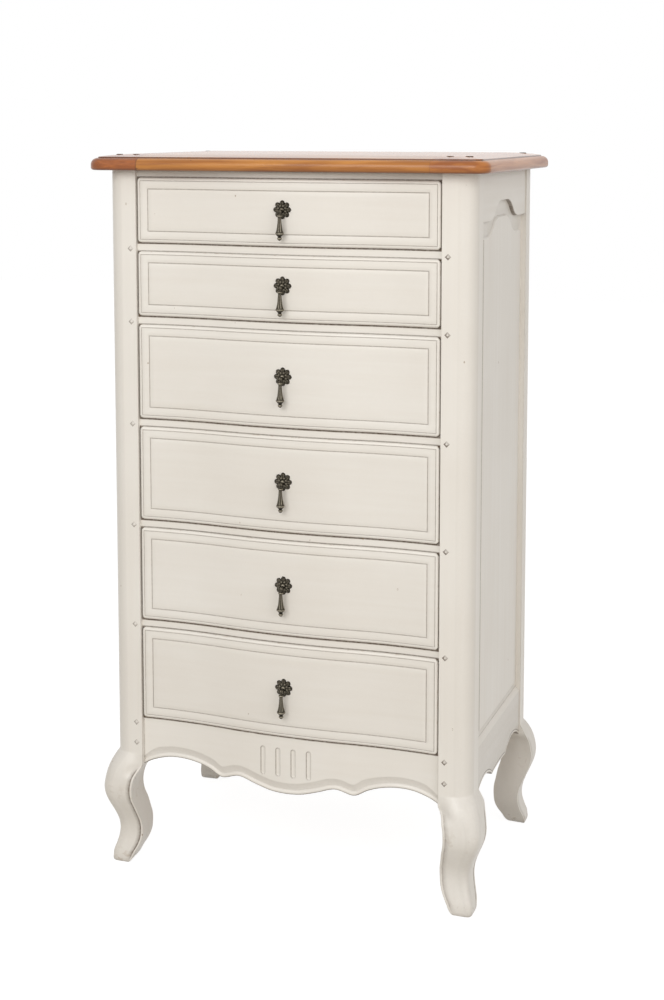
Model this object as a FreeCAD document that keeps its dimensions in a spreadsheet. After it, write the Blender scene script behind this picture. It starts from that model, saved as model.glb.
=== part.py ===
import FreeCAD, Part
import Sketcher
import math
import os

# A tall painted chest of six lipped drawers on four cabriole legs.
# It stands on the XY plane, centred on the Z axis, with its front towards -Y and its left side at -X.
# Every size is in millimetres.

SIZES = (
    # The whole chest: its height, and the case measured over the four corner posts.
    ("height", 1200),
    ("body_width", 620),
    ("body_depth", 400),
    # The stained top: overhang past the posts, thickness, plan corners and moulded edge.
    ("top_overhang", 25),
    ("top_thickness", 27),
    ("top_corner_round", 25),
    ("top_upper_round", 12),
    ("top_lower_round", 4),
    ("top_end_width", 90),
    ("top_tenon_length", 62),
    ("top_tenon_thickness", 8),
    ("top_tenon_margin", 20),
    # The corner posts and the legs cut on their lower ends.
    ("post_side", 52),
    ("post_round", 28),
    ("leg_height", 192),
    ("knee_height", 134),
    ("ankle_height", 57),
    ("toe_height", 12),
    ("knee_swell", 18.5),
    ("toe_swell", 7),
    ("foot_swell", 5.8),
    ("knee_side", 54.5),
    ("ankle_side", 43.5),
    ("toe_side", 35.5),
    ("foot_side", 30),
    ("knee_round", 20),
    ("ankle_round", 12),
    ("foot_round", 8),
    # The serpentine front that rails, apron and drawer fronts share.
    ("swell_radius", 1160),
    ("swell_half_width", 110),
    ("hollow_radius", 860),
    ("rail_setback", 6.5),
    # Rails of the front frame and the drawer fronts that lap over them.
    ("top_reveal", 11.5),
    ("rail_reveal", 14),
    ("rail_lap", 3.5),
    ("small_front_height", 106),
    ("large_front_height", 155.6),
    ("apron_thickness", 22),
    ("apron_peg_drop", 13),
    ("apron_peg_pitch", 35),
    # The shaped lower edge of the apron, heights measured from the floor.
    ("apron_end_level", 173),
    ("apron_arch_rise", 17.5),
    ("apron_shoulder_level", 175),
    ("apron_shoulder_place", 127),
    ("apron_cusp_level", 168.5),
    ("apron_cusp_place", 114),
    ("apron_lobe_level", 174),
    ("apron_lobe_place", 78),
    ("apron_lobe_drop", 15.5),
    ("apron_cusp_rise", 2),
    ("flute_pitch", 26.5),
    ("flute_width", 8),
    ("flute_level", 186),
    ("flute_length", 49),
    ("flute_depth", 2.2),
    # The framed sides.
    ("side_setback", 2),
    ("side_rail_thickness", 22),
    ("side_rail_drop", 78),
    ("side_arch_rise", 30),
    ("side_arch_crown", 20),
    ("side_arch_foot", 98),
    ("side_base_top", 262),
    ("side_base_bevel", 7),
    ("side_base_end_level", 175),
    ("side_base_arch_rise", 14),
    ("side_base_shoulder_place", 52),
    ("side_base_shoulder_level", 180),
    ("side_base_cusp_place", 45),
    ("side_base_cusp_level", 175),
    ("side_base_centre_rise", 2.5),
    ("panel_thickness", 10),
    ("panel_recess", 7),
    ("panel_tongue", 8),
    ("panel_cover", 25),
    ("field_raise", 3.5),
    ("field_bevel", 3),
    ("field_inset", 22),
    ("field_top_gap", 24),
    ("field_base_gap", 11),
    # The back.
    ("rear_rail_height", 60),
    ("rear_rail_thickness", 22),
    ("rear_base_level", 180),
    ("back_thickness", 6),
    ("back_inset", 2),
    # Pegs through the joints of the posts and the top.
    ("peg_side", 7),
    ("peg_depth", 9),
    ("peg_proud", 1.2),
    ("peg_bevel", 3),
    ("peg_place", 10),
    ("peg_drop", 3),
    ("top_peg_side", 9),
    ("top_peg_inset", 20),
    ("top_peg_pitch", 30),
    ("top_peg_back", 45),
    # Lipped drawer fronts.
    ("lip_thickness", 5.5),
    ("lip_gap", 0.5),
    ("lip_side_gap", 2),
    ("lip_round", 4.5),
    ("front_thickness", 24),
    ("front_line_inset", 18),
    ("front_line_width", 1.6),
    ("front_line_depth", 1.2),
    ("drawer_play", 2.5),
    ("slide_gap", 0.4),
    # Drawer boxes, and the runners that carry them.
    ("box_width", 500),
    ("box_side_thickness", 12),
    ("box_side_drop", 8),
    ("box_back_thickness", 12),
    ("box_rear_clearance", 4),
    ("bottom_thickness", 5),
    ("bottom_lift", 10),
    ("bottom_tongue", 6),
    ("runner_width", 26),
    ("guide_gap", 0.6),
    ("guide_height", 15),
    ("runner_seat", 14),
    # Cleats and screws that hold the top.
    ("cleat_height", 16),
    ("screw_radius", 2),
    ("screw_head_radius", 4),
    ("screw_head_height", 2.5),
    ("screw_bite", 6),
    ("screw_gap", 0.1),
    ("screw_pitch", 120),
    # Handles: a flower plate with a bolt and nut, and a hanging drop on a pin.
    ("handle_raise", 5),
    ("plate_radius", 12.5),
    ("plate_thickness", 1.5),
    ("petal_place", 10),
    ("petal_length", 5),
    ("petal_width", 4.3),
    ("petal_height", 3.4),
    ("dome_radius", 5.5),
    ("stud_radius", 2.6),
    ("stud_length", 9),
    ("ear_gap", 3.6),
    ("ear_thickness", 1.6),
    ("ear_height", 5.6),
    ("ear_reach", 3),
    ("ear_root", 1.5),
    ("pivot_reach", 12.5),
    ("pivot_drop", 2),
    ("pin_radius", 1.1),
    ("pin_play", 0.1),
    ("eye_radius", 2.6),
    ("eye_width", 3),
    ("bolt_radius", 2),
    ("bolt_play", 0.25),
    ("bolt_end", 2),
    ("nut_radius", 4.4),
    ("nut_thickness", 3.2),
    ("neck_radius", 1.3),
    ("collar_radius", 3.7),
    ("collar_place", 6),
    ("collar_height", 2.5),
    ("drop_waist_radius", 3.2),
    ("drop_belly_radius", 6.8),
    ("drop_belly_place", 35),
    ("drop_foot_radius", 2.3),
    ("drop_foot_place", 40.5),
    ("drop_ball_radius", 3.2),
    # Cutting solids run this much past the faces they cut.
    ("overrun", 1),
)

# Leg sections between the named ones: each pair is the share of the height and the share of the
# change in swell, side and corner that the leg has made there.
FOOT_SHARES = (0.5, 0.6)
SHIN_SHARES = (0.5, 0.45)
HIP_SHARES = (0.6, 0.45)
# The ends of the apron's flutes are arcs of this share of the flute's width.
FLUTE_END_SHARE = 0.56
# Along the handle's drop, the place and width of its narrow shoulder as shares of the way to the belly.
DROP_SHOULDER_SHARES = (0.5, 0.16)
# How near an edge lies to a place for the edge to count as there, as a share of the edge's length.
NEAR_SHARE = 1e-4

doc = FreeCAD.newDocument("chest_of_drawers")
sheet = doc.addObject("Spreadsheet::Sheet", "Sizes")
for row, (alias, number) in enumerate(SIZES, start=1):
    sheet.set("A%d" % row, alias)
    sheet.set("B%d" % row, str(number))
    sheet.setAlias("B%d" % row, alias)
doc.recompute()


class Size:
    """A length known both as a number and as the formula that works it out from the sheet."""

    def __init__(self, number, formula):
        self.number = float(number)
        self.formula = formula

    def __add__(self, other):
        other = as_size(other)
        return Size(self.number + other.number, "(%s + %s)" % (self.formula, other.formula))

    def __sub__(self, other):
        other = as_size(other)
        return Size(self.number - other.number, "(%s - %s)" % (self.formula, other.formula))

    def __mul__(self, other):
        other = as_size(other)
        return Size(self.number * other.number, "(%s * %s)" % (self.formula, other.formula))

    def __truediv__(self, other):
        other = as_size(other)
        return Size(self.number / other.number, "(%s / %s)" % (self.formula, other.formula))

    def __neg__(self):
        return self * -1

    def root(self):
        return Size(math.sqrt(self.number), "sqrt(%s)" % self.formula)


def as_size(value):
    """A plain number taken into the same arithmetic as the sheet's sizes."""
    if isinstance(value, Size):
        return value
    return Size(value, "(%r)" % float(value))


class SizeTable:
    """The sheet's sizes by name."""


size = SizeTable()
for alias, number in SIZES:
    setattr(size, alias, Size(number, "Sizes." + alias))

NOTHING = as_size(0)


def between(low, high, share):
    """The size a share of the way from one size to another."""
    return low + (high - low) * share


def distance(start, end):
    """The straight distance between two points of an outline."""
    across = end[0] - start[0]
    along = end[1] - start[1]
    return (across * across + along * along).root()


def bow_radius(start, end, rise):
    """The radius of the arc over a chord that rises so far at its middle."""
    chord = distance(start, end)
    return (chord * chord / 4 + rise * rise) / (rise * 2)


# Sketches and solid features

def origin_plane(body, role):
    """One of the three origin planes of a body, found by its role."""
    return [plane for plane in body.Origin.OriginFeatures if plane.Role == role][0]


def new_body(label):
    """An empty body that will be written under its label."""
    body = doc.addObject("PartDesign::Body", label)
    body.Label = label
    return body


def arc_geometry(start, end, radius, turn):
    """The arc between two points: turn is 1 when it bears left on its way and -1 when it bears right."""
    middle_x = (start[0] + end[0]) / 2
    middle_y = (start[1] + end[1]) / 2
    step_x = end[0] - start[0]
    step_y = end[1] - start[1]
    chord = math.hypot(step_x, step_y)
    offset = math.sqrt(max(radius * radius - chord * chord / 4, 0)) * turn / chord
    centre = (middle_x - step_y * offset, middle_y + step_x * offset)
    first, last = (start, end) if turn > 0 else (end, start)
    first_angle = math.atan2(first[1] - centre[1], first[0] - centre[0])
    last_angle = math.atan2(last[1] - centre[1], last[0] - centre[0])
    circle = Part.Circle(FreeCAD.Vector(centre[0], centre[1], 0), FreeCAD.Vector(0, 0, 1), radius)
    return Part.ArcOfCircle(circle, first_angle, last_angle)


def bind(sketch, kind, geometry, point, value):
    """A horizontal or vertical distance from the sketch's origin, bound to the sheet."""
    index = sketch.addConstraint(Sketcher.Constraint(kind, -1, 1, geometry, point, value.number))
    sketch.setExpression("Constraints[%d]" % index, value.formula)


def add_loop(sketch, corners):
    """Draw one closed loop. A corner is (x, y), or (x, y, radius, turn) where an arc leaves it."""
    edges = []
    count = len(corners)
    for index, corner in enumerate(corners):
        following = corners[(index + 1) % count]
        start = (corner[0].number, corner[1].number)
        end = (following[0].number, following[1].number)
        if len(corner) == 2:
            line = Part.LineSegment(FreeCAD.Vector(*start, 0), FreeCAD.Vector(*end, 0))
            edges.append((sketch.addGeometry(line), 1, 2))
        else:
            arc = sketch.addGeometry(arc_geometry(start, end, corner[2].number, corner[3]))
            radius = sketch.addConstraint(Sketcher.Constraint("Radius", arc, corner[2].number))
            sketch.setExpression("Constraints[%d]" % radius, corner[2].formula)
            edges.append((arc, 1, 2) if corner[3] > 0 else (arc, 2, 1))
    for index, corner in enumerate(corners):
        edge = edges[index]
        before = edges[index - 1]
        sketch.addConstraint(Sketcher.Constraint("Coincident", before[0], before[2], edge[0], edge[1]))
        bind(sketch, "DistanceX", edge[0], edge[1], corner[0])
        bind(sketch, "DistanceY", edge[0], edge[1], corner[1])


def new_sketch(body, name, role, offset):
    """An empty sketch on a body's own plane, moved along the plane's normal."""
    sketch = body.newObject("Sketcher::SketchObject", name)
    sketch.AttachmentSupport = [(origin_plane(body, role), "")]
    sketch.MapMode = "FlatFace"
    sketch.setExpression("AttachmentOffset.Base.z", offset.formula)
    return sketch


def draw(body, name, role, offset, *loops):
    """A sketch of closed loops on one of the body's planes."""
    sketch = new_sketch(body, name, role, offset)
    for corners in loops:
        add_loop(sketch, corners)
    return sketch


def draw_circles(body, name, role, offset, centres, radius):
    """A sketch of equal circles on one of the body's planes."""
    sketch = new_sketch(body, name, role, offset)
    for x, y in centres:
        circle = Part.Circle(FreeCAD.Vector(x.number, y.number, 0), FreeCAD.Vector(0, 0, 1), radius.number)
        geometry = sketch.addGeometry(circle)
        bind(sketch, "DistanceX", geometry, 3, x)
        bind(sketch, "DistanceY", geometry, 3, y)
        index = sketch.addConstraint(Sketcher.Constraint("Radius", geometry, radius.number))
        sketch.setExpression("Constraints[%d]" % index, radius.formula)
    return sketch


def rectangle(low_x, low_y, high_x, high_y):
    """The corners of a rectangle."""
    return [(low_x, low_y), (high_x, low_y), (high_x, high_y), (low_x, high_y)]


def mirrored(corners, across, along):
    """An outline taken to another quarter: each factor is 1, or -1 to mirror x or y."""
    turned = []
    for corner in corners:
        start = (corner[0] * across, corner[1] * along)
        turned.append(start if len(corner) == 2 else start + (corner[2], corner[3] * across * along))
    return turned


def diamond(centre_x, centre_y, side):
    """The corners of a square of the given side that stands on one corner."""
    half = side / math.sqrt(2)
    return [(centre_x - half, centre_y), (centre_x, centre_y - half),
            (centre_x + half, centre_y), (centre_x, centre_y + half)]


def pad(body, sketch, length, backwards=False):
    """Build a sketch up into a solid along its normal, or against it."""
    feature = body.newObject("PartDesign::Pad", sketch.Name + "_pad")
    feature.Profile = sketch
    feature.setExpression("Length", length.formula)
    feature.Reversed = backwards
    return feature


def pocket(body, sketch, depth, along_normal=False):
    """Cut a sketch into the body against its normal, or along it, and see that it removed material."""
    doc.recompute()
    before = body.Shape.Volume
    feature = body.newObject("PartDesign::Pocket", sketch.Name + "_pocket")
    feature.Profile = sketch
    feature.setExpression("Length", depth.formula)
    feature.Reversed = along_normal
    doc.recompute()
    if not body.Shape.Volume < before:
        raise ValueError("%s cuts nothing from %s" % (sketch.Name, body.Label))
    return feature


def round_edges(body, name, radius, wanted):
    """Round the edges of a body that a test picks out."""
    doc.recompute()
    base = body.Tip
    picked = ["Edge%d" % (index + 1) for index, edge in enumerate(base.Shape.Edges) if wanted(edge)]
    feature = body.newObject("PartDesign::Fillet", name)
    feature.Base = (base, picked)
    feature.setExpression("Radius", radius.formula)
    return feature


def cut_edges(body, name, width, wanted):
    """Bevel the edges of a body that a test picks out."""
    doc.recompute()
    base = body.Tip
    picked = ["Edge%d" % (index + 1) for index, edge in enumerate(base.Shape.Edges) if wanted(edge)]
    feature = body.newObject("PartDesign::Chamfer", name)
    feature.Base = (base, picked)
    feature.setExpression("Size", width.formula)
    return feature


def edge_at(edge, axis, place):
    """Whether an edge lies wholly in the plane across an axis (0, 1, 2) at a place."""
    low = (edge.BoundBox.XMin, edge.BoundBox.YMin, edge.BoundBox.ZMin)[axis]
    high = (edge.BoundBox.XMax, edge.BoundBox.YMax, edge.BoundBox.ZMax)[axis]
    near = edge.BoundBox.DiagonalLength * NEAR_SHARE
    return abs(low - place.number) < near and abs(high - place.number) < near


def place(item, x=NOTHING, y=NOTHING, z=NOTHING):
    """Bind the place of an object to the sheet."""
    item.setExpression("Placement.Base.x", x.formula)
    item.setExpression("Placement.Base.y", y.formula)
    item.setExpression("Placement.Base.z", z.formula)


def turn(item, axis, degrees):
    """Turn an object about an axis through its own base point."""
    item.Placement = FreeCAD.Placement(item.Placement.Base, FreeCAD.Rotation(FreeCAD.Vector(*axis), degrees))


def primitive(kind, name, **sizes):
    """A primitive solid whose named sizes are bound to the sheet."""
    item = doc.addObject("Part::" + kind, name)
    for field, value in sizes.items():
        item.setExpression(field, value.formula)
    return item


def fuse(name, *items):
    """Several overlapping solids made one."""
    item = doc.addObject("Part::MultiFuse", name)
    item.Shapes = list(items)
    return item


def cut(name, base, tool):
    """A solid with another cut out of it."""
    item = doc.addObject("Part::Cut", name)
    item.Base = base
    item.Tool = tool
    return item


def group(label, *items):
    """Separate solids that share one node."""
    item = doc.addObject("Part::Compound", label)
    item.Label = label
    item.Links = list(items)
    return item


def copy_of(master, name, x=NOTHING, y=NOTHING, z=NOTHING):
    """One more copy of a repeated piece, in its own place."""
    item = doc.addObject("App::Link", name)
    item.LinkedObject = master
    place(item, x, y, z)
    return item


sub_parts = []

# Levels and lines that several pieces share

body_top = size.height - size.top_thickness
half_width = size.body_width / 2
half_depth = size.body_depth / 2
post_line_x = half_width - size.post_side
post_line_y = half_depth - size.post_side
rail_height = size.rail_reveal + size.rail_lap * 2

# The serpentine is a convex middle arc with a hollow arc tangent to it on each side.
# All its y values are counted backwards from the foremost point of the middle arc.
swell_rise = size.swell_radius - (size.swell_radius * size.swell_radius
                                  - size.swell_half_width * size.swell_half_width).root()
radius_ratio = size.hollow_radius / size.swell_radius
hollow_centre_x = size.swell_half_width + size.swell_half_width * radius_ratio
hollow_centre_y = swell_rise + (swell_rise - size.swell_radius) * radius_ratio


def serpentine_depth(x):
    """How far the hollow arc lies behind the foremost point, at a distance x from the middle."""
    reach = x - hollow_centre_x
    return hollow_centre_y + (size.hollow_radius * size.hollow_radius - reach * reach).root()


rail_front = size.rail_setback - half_depth - serpentine_depth(post_line_x)


def serpentine(front, reach):
    """The corners of the serpentine line from left to right, foremost at front, out to x = reach."""
    end = front + serpentine_depth(reach)
    knot = front + swell_rise
    return [(-reach, end, size.hollow_radius, -1),
            (-size.swell_half_width, knot, size.swell_radius, 1),
            (size.swell_half_width, knot, size.hollow_radius, -1),
            (reach, end)]


def serpentine_board(front, reach, back):
    """The plan of a board with a serpentine front and a straight back."""
    return serpentine(front, reach) + [(reach, back), (-reach, back)]


# The top: a board between two cross-grain ends that fit over its tenons

top_half_width = half_width + size.top_overhang
top_half_depth = half_depth + size.top_overhang
top_joint = top_half_width - size.top_end_width
top_cheek = (size.top_thickness - size.top_tenon_thickness) / 2
tenon_level = body_top + top_cheek
tenon_reach = top_joint + size.top_tenon_length
tenon_half_depth = top_half_depth - size.top_tenon_margin
top_peg_x = [top_joint + size.top_peg_inset, top_joint + size.top_peg_inset + size.top_peg_pitch]
top_peg_y = top_half_depth - size.top_peg_back
side_outer = half_width - size.side_setback
side_inner = side_outer - size.side_rail_thickness
screw_x = side_inner - size.cleat_height / 2
screw_steps = [-size.screw_pitch, NOTHING, size.screw_pitch]


def mould_top_edges(body, outer_edge):
    """Round the outer edges of a piece of the top: a small round above and a larger one below."""
    round_edges(body, body.Name + "_upper", size.top_upper_round,
                lambda edge: outer_edge(edge) and edge_at(edge, 2, size.height))
    round_edges(body, body.Name + "_lower", size.top_lower_round,
                lambda edge: outer_edge(edge) and edge_at(edge, 2, body_top))


def peg_diamonds(side):
    """The outlines of the four pegs through the joint at one end of the top."""
    return [diamond(x * side, top_peg_y * step, size.top_peg_side) for x in top_peg_x for step in (-1, 1)]


def make_top_board():
    """The middle board, with a wide tenon at each end."""
    body = new_body("top_board")
    plan = draw(body, "board_plan", "XY_Plane", body_top,
                rectangle(-top_joint, -top_half_depth, top_joint, top_half_depth))
    pad(body, plan, size.top_thickness)
    mould_top_edges(body, lambda edge: edge_at(edge, 1, -top_half_depth) or edge_at(edge, 1, top_half_depth))
    for side, name in ((-1, "left"), (1, "right")):
        tenon = draw(body, name + "_tenon", "XY_Plane", tenon_level,
                     rectangle(top_joint * side, -tenon_half_depth, tenon_reach * side, tenon_half_depth))
        pad(body, tenon, size.top_tenon_thickness)
        holes = draw(body, name + "_peg_holes", "XY_Plane", tenon_level - size.overrun, *peg_diamonds(side))
        pocket(body, holes, size.top_tenon_thickness + size.overrun * 2, along_normal=True)
    return body


def make_top_end(label, side):
    """A cross-grain end with rounded corners, slotted for the tenon."""
    body = new_body(label)
    corner = size.top_corner_round
    plan = draw(body, label + "_plan", "XY_Plane", body_top, mirrored([
        (top_joint, -top_half_depth),
        (top_half_width - corner, -top_half_depth, corner, 1),
        (top_half_width, corner - top_half_depth),
        (top_half_width, top_half_depth - corner, corner, 1),
        (top_half_width - corner, top_half_depth),
        (top_joint, top_half_depth)], side, 1))
    pad(body, plan, size.top_thickness)
    mould_top_edges(body, lambda edge: not edge_at(edge, 0, top_joint * side))
    slot = draw(body, label + "_slot", "XY_Plane", tenon_level,
                rectangle((top_joint - size.overrun) * side, -tenon_half_depth, tenon_reach * side, tenon_half_depth))
    pocket(body, slot, size.top_tenon_thickness, along_normal=True)
    holes = draw(body, label + "_peg_holes", "XY_Plane", size.height + size.overrun, *peg_diamonds(side))
    pocket(body, holes, top_cheek + size.overrun * 2)
    screw_holes = draw_circles(body, label + "_screw_holes", "XY_Plane", body_top - size.overrun,
                               [(screw_x * side, step) for step in screw_steps],
                               size.screw_radius + size.screw_gap)
    pocket(body, screw_holes, size.screw_bite + size.screw_gap + size.overrun, along_normal=True)
    return body


def make_top_pegs():
    """Square pegs set cornerwise, flush with the top face."""
    master = new_body("top_peg")
    plan = draw(master, "top_peg_plan", "XY_Plane", NOTHING, diamond(NOTHING, NOTHING, size.top_peg_side))
    pad(master, plan, top_cheek + size.top_tenon_thickness, backwards=True)
    copies = [copy_of(master, "top_peg_copy", x * side, top_peg_y * step, size.height)
              for side in (-1, 1) for x in top_peg_x for step in (-1, 1)]
    return group("top_pegs", *copies)


sub_parts.append(make_top_board())
sub_parts.append(make_top_end("top_left_end", -1))
sub_parts.append(make_top_end("top_right_end", 1))
sub_parts.append(make_top_pegs())

# Drawer levels, from the top down: the upper and lower edge of each lipped front

drawers = []
level = body_top - size.top_reveal
for number in range(1, 7):
    front_height = size.small_front_height if number <= 2 else size.large_front_height
    drawers.append((number, level, level - front_height))
    level = level - front_height - size.rail_reveal

apron_back = size.rail_setback - half_depth + size.apron_thickness
apron_top = drawers[-1][2] + size.rail_lap

# The four corner posts, each in one piece with its cabriole leg

panel_outer = side_outer - size.panel_recess
panel_inner = panel_outer - size.panel_thickness
panel_bottom = size.side_base_top - size.panel_tongue
side_rail_level = body_top - size.side_rail_drop
panel_top = side_rail_level + size.side_arch_rise + size.panel_cover
peg_x = post_line_x + size.peg_place
peg_levels = [low - size.rail_reveal / 2 - size.peg_drop for number, high, low in drawers[:-1]]
peg_levels.append(apron_top - size.apron_peg_drop)
peg_levels.append(apron_top - size.apron_peg_drop - size.apron_peg_pitch)


def leg_section(swell, side, corner):
    """A square section with one rounded outer corner, its outer faces swelling past the post's."""
    outer_x = half_width + swell
    outer_y = half_depth + swell
    return [(outer_x - side, outer_y - side),
            (outer_x, outer_y - side),
            (outer_x, outer_y - corner, corner, 1),
            (outer_x - corner, outer_y),
            (outer_x - side, outer_y)]


def leg_sections():
    """The sections of the leg from the foot to the top, as level, swell, side and corner."""
    foot = (NOTHING, size.foot_swell, size.foot_side, size.foot_round)
    toe = (size.toe_height, size.toe_swell, size.toe_side, size.foot_round)
    ankle = (size.ankle_height, NOTHING, size.ankle_side, size.ankle_round)
    knee = (size.knee_height, size.knee_swell, size.knee_side, size.knee_round)
    post = (size.leg_height, NOTHING, size.post_side, size.post_round)

    def blend(low, high, shares):
        """A section between two others."""
        return (between(low[0], high[0], shares[0]),) + tuple(
            between(low[item], high[item], shares[1]) for item in (1, 2, 3))

    hip = blend(knee, post, HIP_SHARES)
    hip = (hip[0], hip[1], size.post_side + hip[1], hip[3])
    return [foot, toe, blend(toe, ankle, FOOT_SHARES), ankle, blend(ankle, knee, SHIN_SHARES), knee, hip, post]


def make_post(label, side, back):
    """A post: side is -1 on the left and 1 on the right, back is -1 at the front and 1 behind."""
    body = new_body(label)
    sections = [draw(body, "%s_section_%d" % (label, index), "XY_Plane", level,
                     mirrored(leg_section(swell, width, corner), side, back))
                for index, (level, swell, width, corner) in enumerate(leg_sections(), start=1)]
    for name, first, last in (("leg", 0, -1), ("hip", -2, None)):
        stretch = sections[first:last]
        loft = body.newObject("PartDesign::AdditiveLoft", "%s_%s" % (label, name))
        loft.Profile = stretch[0]
        loft.Sections = stretch[1:]
        loft.Ruled = name == "hip"
    pad(body, sections[-1], body_top - size.leg_height)
    groove = draw(body, label + "_groove", "XY_Plane", panel_bottom,
                  rectangle(panel_inner * side, (post_line_y - size.overrun) * back,
                            panel_outer * side, (post_line_y + size.panel_tongue) * back))
    pocket(body, groove, panel_top - panel_bottom, along_normal=True)
    if back < 0:
        holes = draw(body, label + "_peg_holes", "XZ_Plane", half_depth,
                     *[diamond(peg_x * side, level, size.peg_side) for level in peg_levels])
        pocket(body, holes, size.peg_depth)
    return body


def make_post_pegs():
    """Square pegs set cornerwise through the rail joints, with low pyramid heads."""
    master = new_body("post_peg")
    shank = draw(master, "peg_shank", "XZ_Plane", NOTHING, diamond(NOTHING, NOTHING, size.peg_side))
    pad(master, shank, size.peg_depth, backwards=True)
    tip = draw(master, "peg_tip", "XZ_Plane", size.peg_proud,
               diamond(NOTHING, NOTHING, size.peg_side - size.peg_bevel))
    head = master.newObject("PartDesign::AdditiveLoft", "peg_head")
    head.Profile = shank
    head.Sections = [tip]
    copies = [copy_of(master, "post_peg_copy", peg_x * side, -half_depth, level)
              for side in (-1, 1) for level in peg_levels]
    return group("post_pegs", *copies)


for label, side, back in (("post_front_left", -1, -1), ("post_front_right", 1, -1),
                          ("post_rear_left", -1, 1), ("post_rear_right", 1, 1)):
    sub_parts.append(make_post(label, side, back))
sub_parts.append(make_post_pegs())

# The framed sides: an arched rail above, a shaped rail below and a sunk panel between the posts


def side_arch(level):
    """The raised arch from front to rear: level, up an S, level and down an S."""
    crown = level + size.side_arch_rise
    middle_level = level + size.side_arch_rise / 2
    middle_place = (size.side_arch_crown + size.side_arch_foot) / 2
    run = (size.side_arch_foot - size.side_arch_crown) / 2
    rise = size.side_arch_rise / 2
    bend = (run * run + rise * rise) / (rise * 2)
    return [(-size.side_arch_foot, level, bend, 1),
            (-middle_place, middle_level, bend, -1),
            (-size.side_arch_crown, crown),
            (size.side_arch_crown, crown, bend, -1),
            (middle_place, middle_level, bend, 1),
            (size.side_arch_foot, level)]


def make_side_rail(label, side):
    """The upper side rail, with a raised arch in its lower edge and a groove for the panel."""
    body = new_body(label)
    outline = ([(-post_line_y, body_top), (-post_line_y, side_rail_level)] + side_arch(side_rail_level)
               + [(post_line_y, side_rail_level), (post_line_y, body_top)])
    face = draw(body, label + "_face", "YZ_Plane", side_inner if side > 0 else -side_outer, outline)
    pad(body, face, size.side_rail_thickness)
    groove = draw(body, label + "_groove", "XY_Plane", side_rail_level - size.overrun,
                  panel_plan(side, post_line_y + size.overrun))
    pocket(body, groove, panel_top - side_rail_level + size.overrun, along_normal=True)
    return body


def panel_plan(side, reach):
    """The panel's thickness in plan, from front to rear."""
    return rectangle(panel_inner * side, -reach, panel_outer * side, reach)


def make_side_base(label, side):
    """The lower side rail, bevelled above, with two arches and a low middle arch below."""
    body = new_body(label)
    shoulder = (size.side_base_shoulder_place, size.side_base_shoulder_level)
    end = (post_line_y, size.side_base_end_level)
    cusp = (size.side_base_cusp_place, size.side_base_cusp_level)
    arch = bow_radius(end, shoulder, size.side_base_arch_rise)
    crown = bow_radius((-cusp[0], cusp[1]), cusp, size.side_base_centre_rise)
    outline = [(-post_line_y, size.side_base_top),
               (-end[0], end[1], arch, -1),
               (-shoulder[0], shoulder[1]),
               (-cusp[0], cusp[1], crown, -1),
               cusp,
               (shoulder[0], shoulder[1], arch, -1),
               end,
               (post_line_y, size.side_base_top)]
    face = draw(body, label + "_face", "YZ_Plane", side_inner if side > 0 else -side_outer, outline)
    pad(body, face, size.side_rail_thickness)
    groove = draw(body, label + "_groove", "XY_Plane", panel_bottom, panel_plan(side, post_line_y + size.overrun))
    pocket(body, groove, size.panel_tongue + size.overrun, along_normal=True)
    bevel = draw(body, label + "_bevel", "XZ_Plane", -post_line_y - size.overrun, mirrored([
        (side_outer - size.side_base_bevel, size.side_base_top),
        (side_outer, size.side_base_top - size.side_base_bevel),
        (side_outer + size.overrun, size.side_base_top - size.side_base_bevel),
        (side_outer + size.overrun, size.side_base_top + size.overrun),
        (side_outer - size.side_base_bevel, size.side_base_top + size.overrun)], side, 1))
    pocket(body, bevel, (post_line_y + size.overrun) * 2, along_normal=True)
    return body


def make_side_panel(label, side):
    """The panel: its edges lie in the grooves of the posts and rails, and its field stands up with a bevel."""
    body = new_body(label)
    plan = draw(body, label + "_plan", "XY_Plane", panel_bottom, panel_plan(side, post_line_y + size.panel_tongue))
    pad(body, plan, panel_top - panel_bottom)
    reach = post_line_y - size.field_inset
    base = size.side_base_top + size.field_base_gap
    level = side_rail_level - size.field_top_gap
    field = draw(body, label + "_field", "YZ_Plane", panel_outer * side,
                 [(-reach, base), (-reach, level)] + side_arch(level) + [(reach, level), (reach, base)])
    pad(body, field, size.field_raise, backwards=side < 0)
    cut_edges(body, label + "_bevel", size.field_bevel,
              lambda edge: edge_at(edge, 0, (panel_outer + size.field_raise) * side))
    return body


for name, side in (("left", -1), ("right", 1)):
    sub_parts.append(make_side_rail("side_%s_top_rail" % name, side))
    sub_parts.append(make_side_base("side_%s_bottom_rail" % name, side))
    sub_parts.append(make_side_panel("side_%s_panel" % name, side))

# The back: two rails between the rear posts, covered by one thin panel

back_face = half_depth - size.back_inset - size.back_thickness
rear_rail_front = back_face - size.rear_rail_thickness


def make_board(label, low, high):
    """A plain board between two opposite corners."""
    board = primitive("Box", label, Length=high[0] - low[0], Width=high[1] - low[1], Height=high[2] - low[2])
    board.Label = label
    place(board, *low)
    return board


sub_parts.append(make_board("rear_top_rail", (-post_line_x, rear_rail_front, body_top - size.rear_rail_height),
                            (post_line_x, back_face, body_top)))
sub_parts.append(make_board("rear_bottom_rail", (-post_line_x, rear_rail_front, size.rear_base_level),
                            (post_line_x, back_face, size.rear_base_level + size.rear_rail_height)))
sub_parts.append(make_board("back_panel", (-post_line_x, back_face, size.rear_base_level),
                            (post_line_x, back_face + size.back_thickness, body_top)))

# The front frame: serpentine rails above and between the drawers, and the shaped apron below them


def make_front_rail(label, low, high):
    """A serpentine rail between the front posts."""
    body = new_body(label)
    plan = draw(body, label + "_plan", "XY_Plane", low, serpentine_board(rail_front, post_line_x, -post_line_y))
    pad(body, plan, high - low)
    return body


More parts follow.
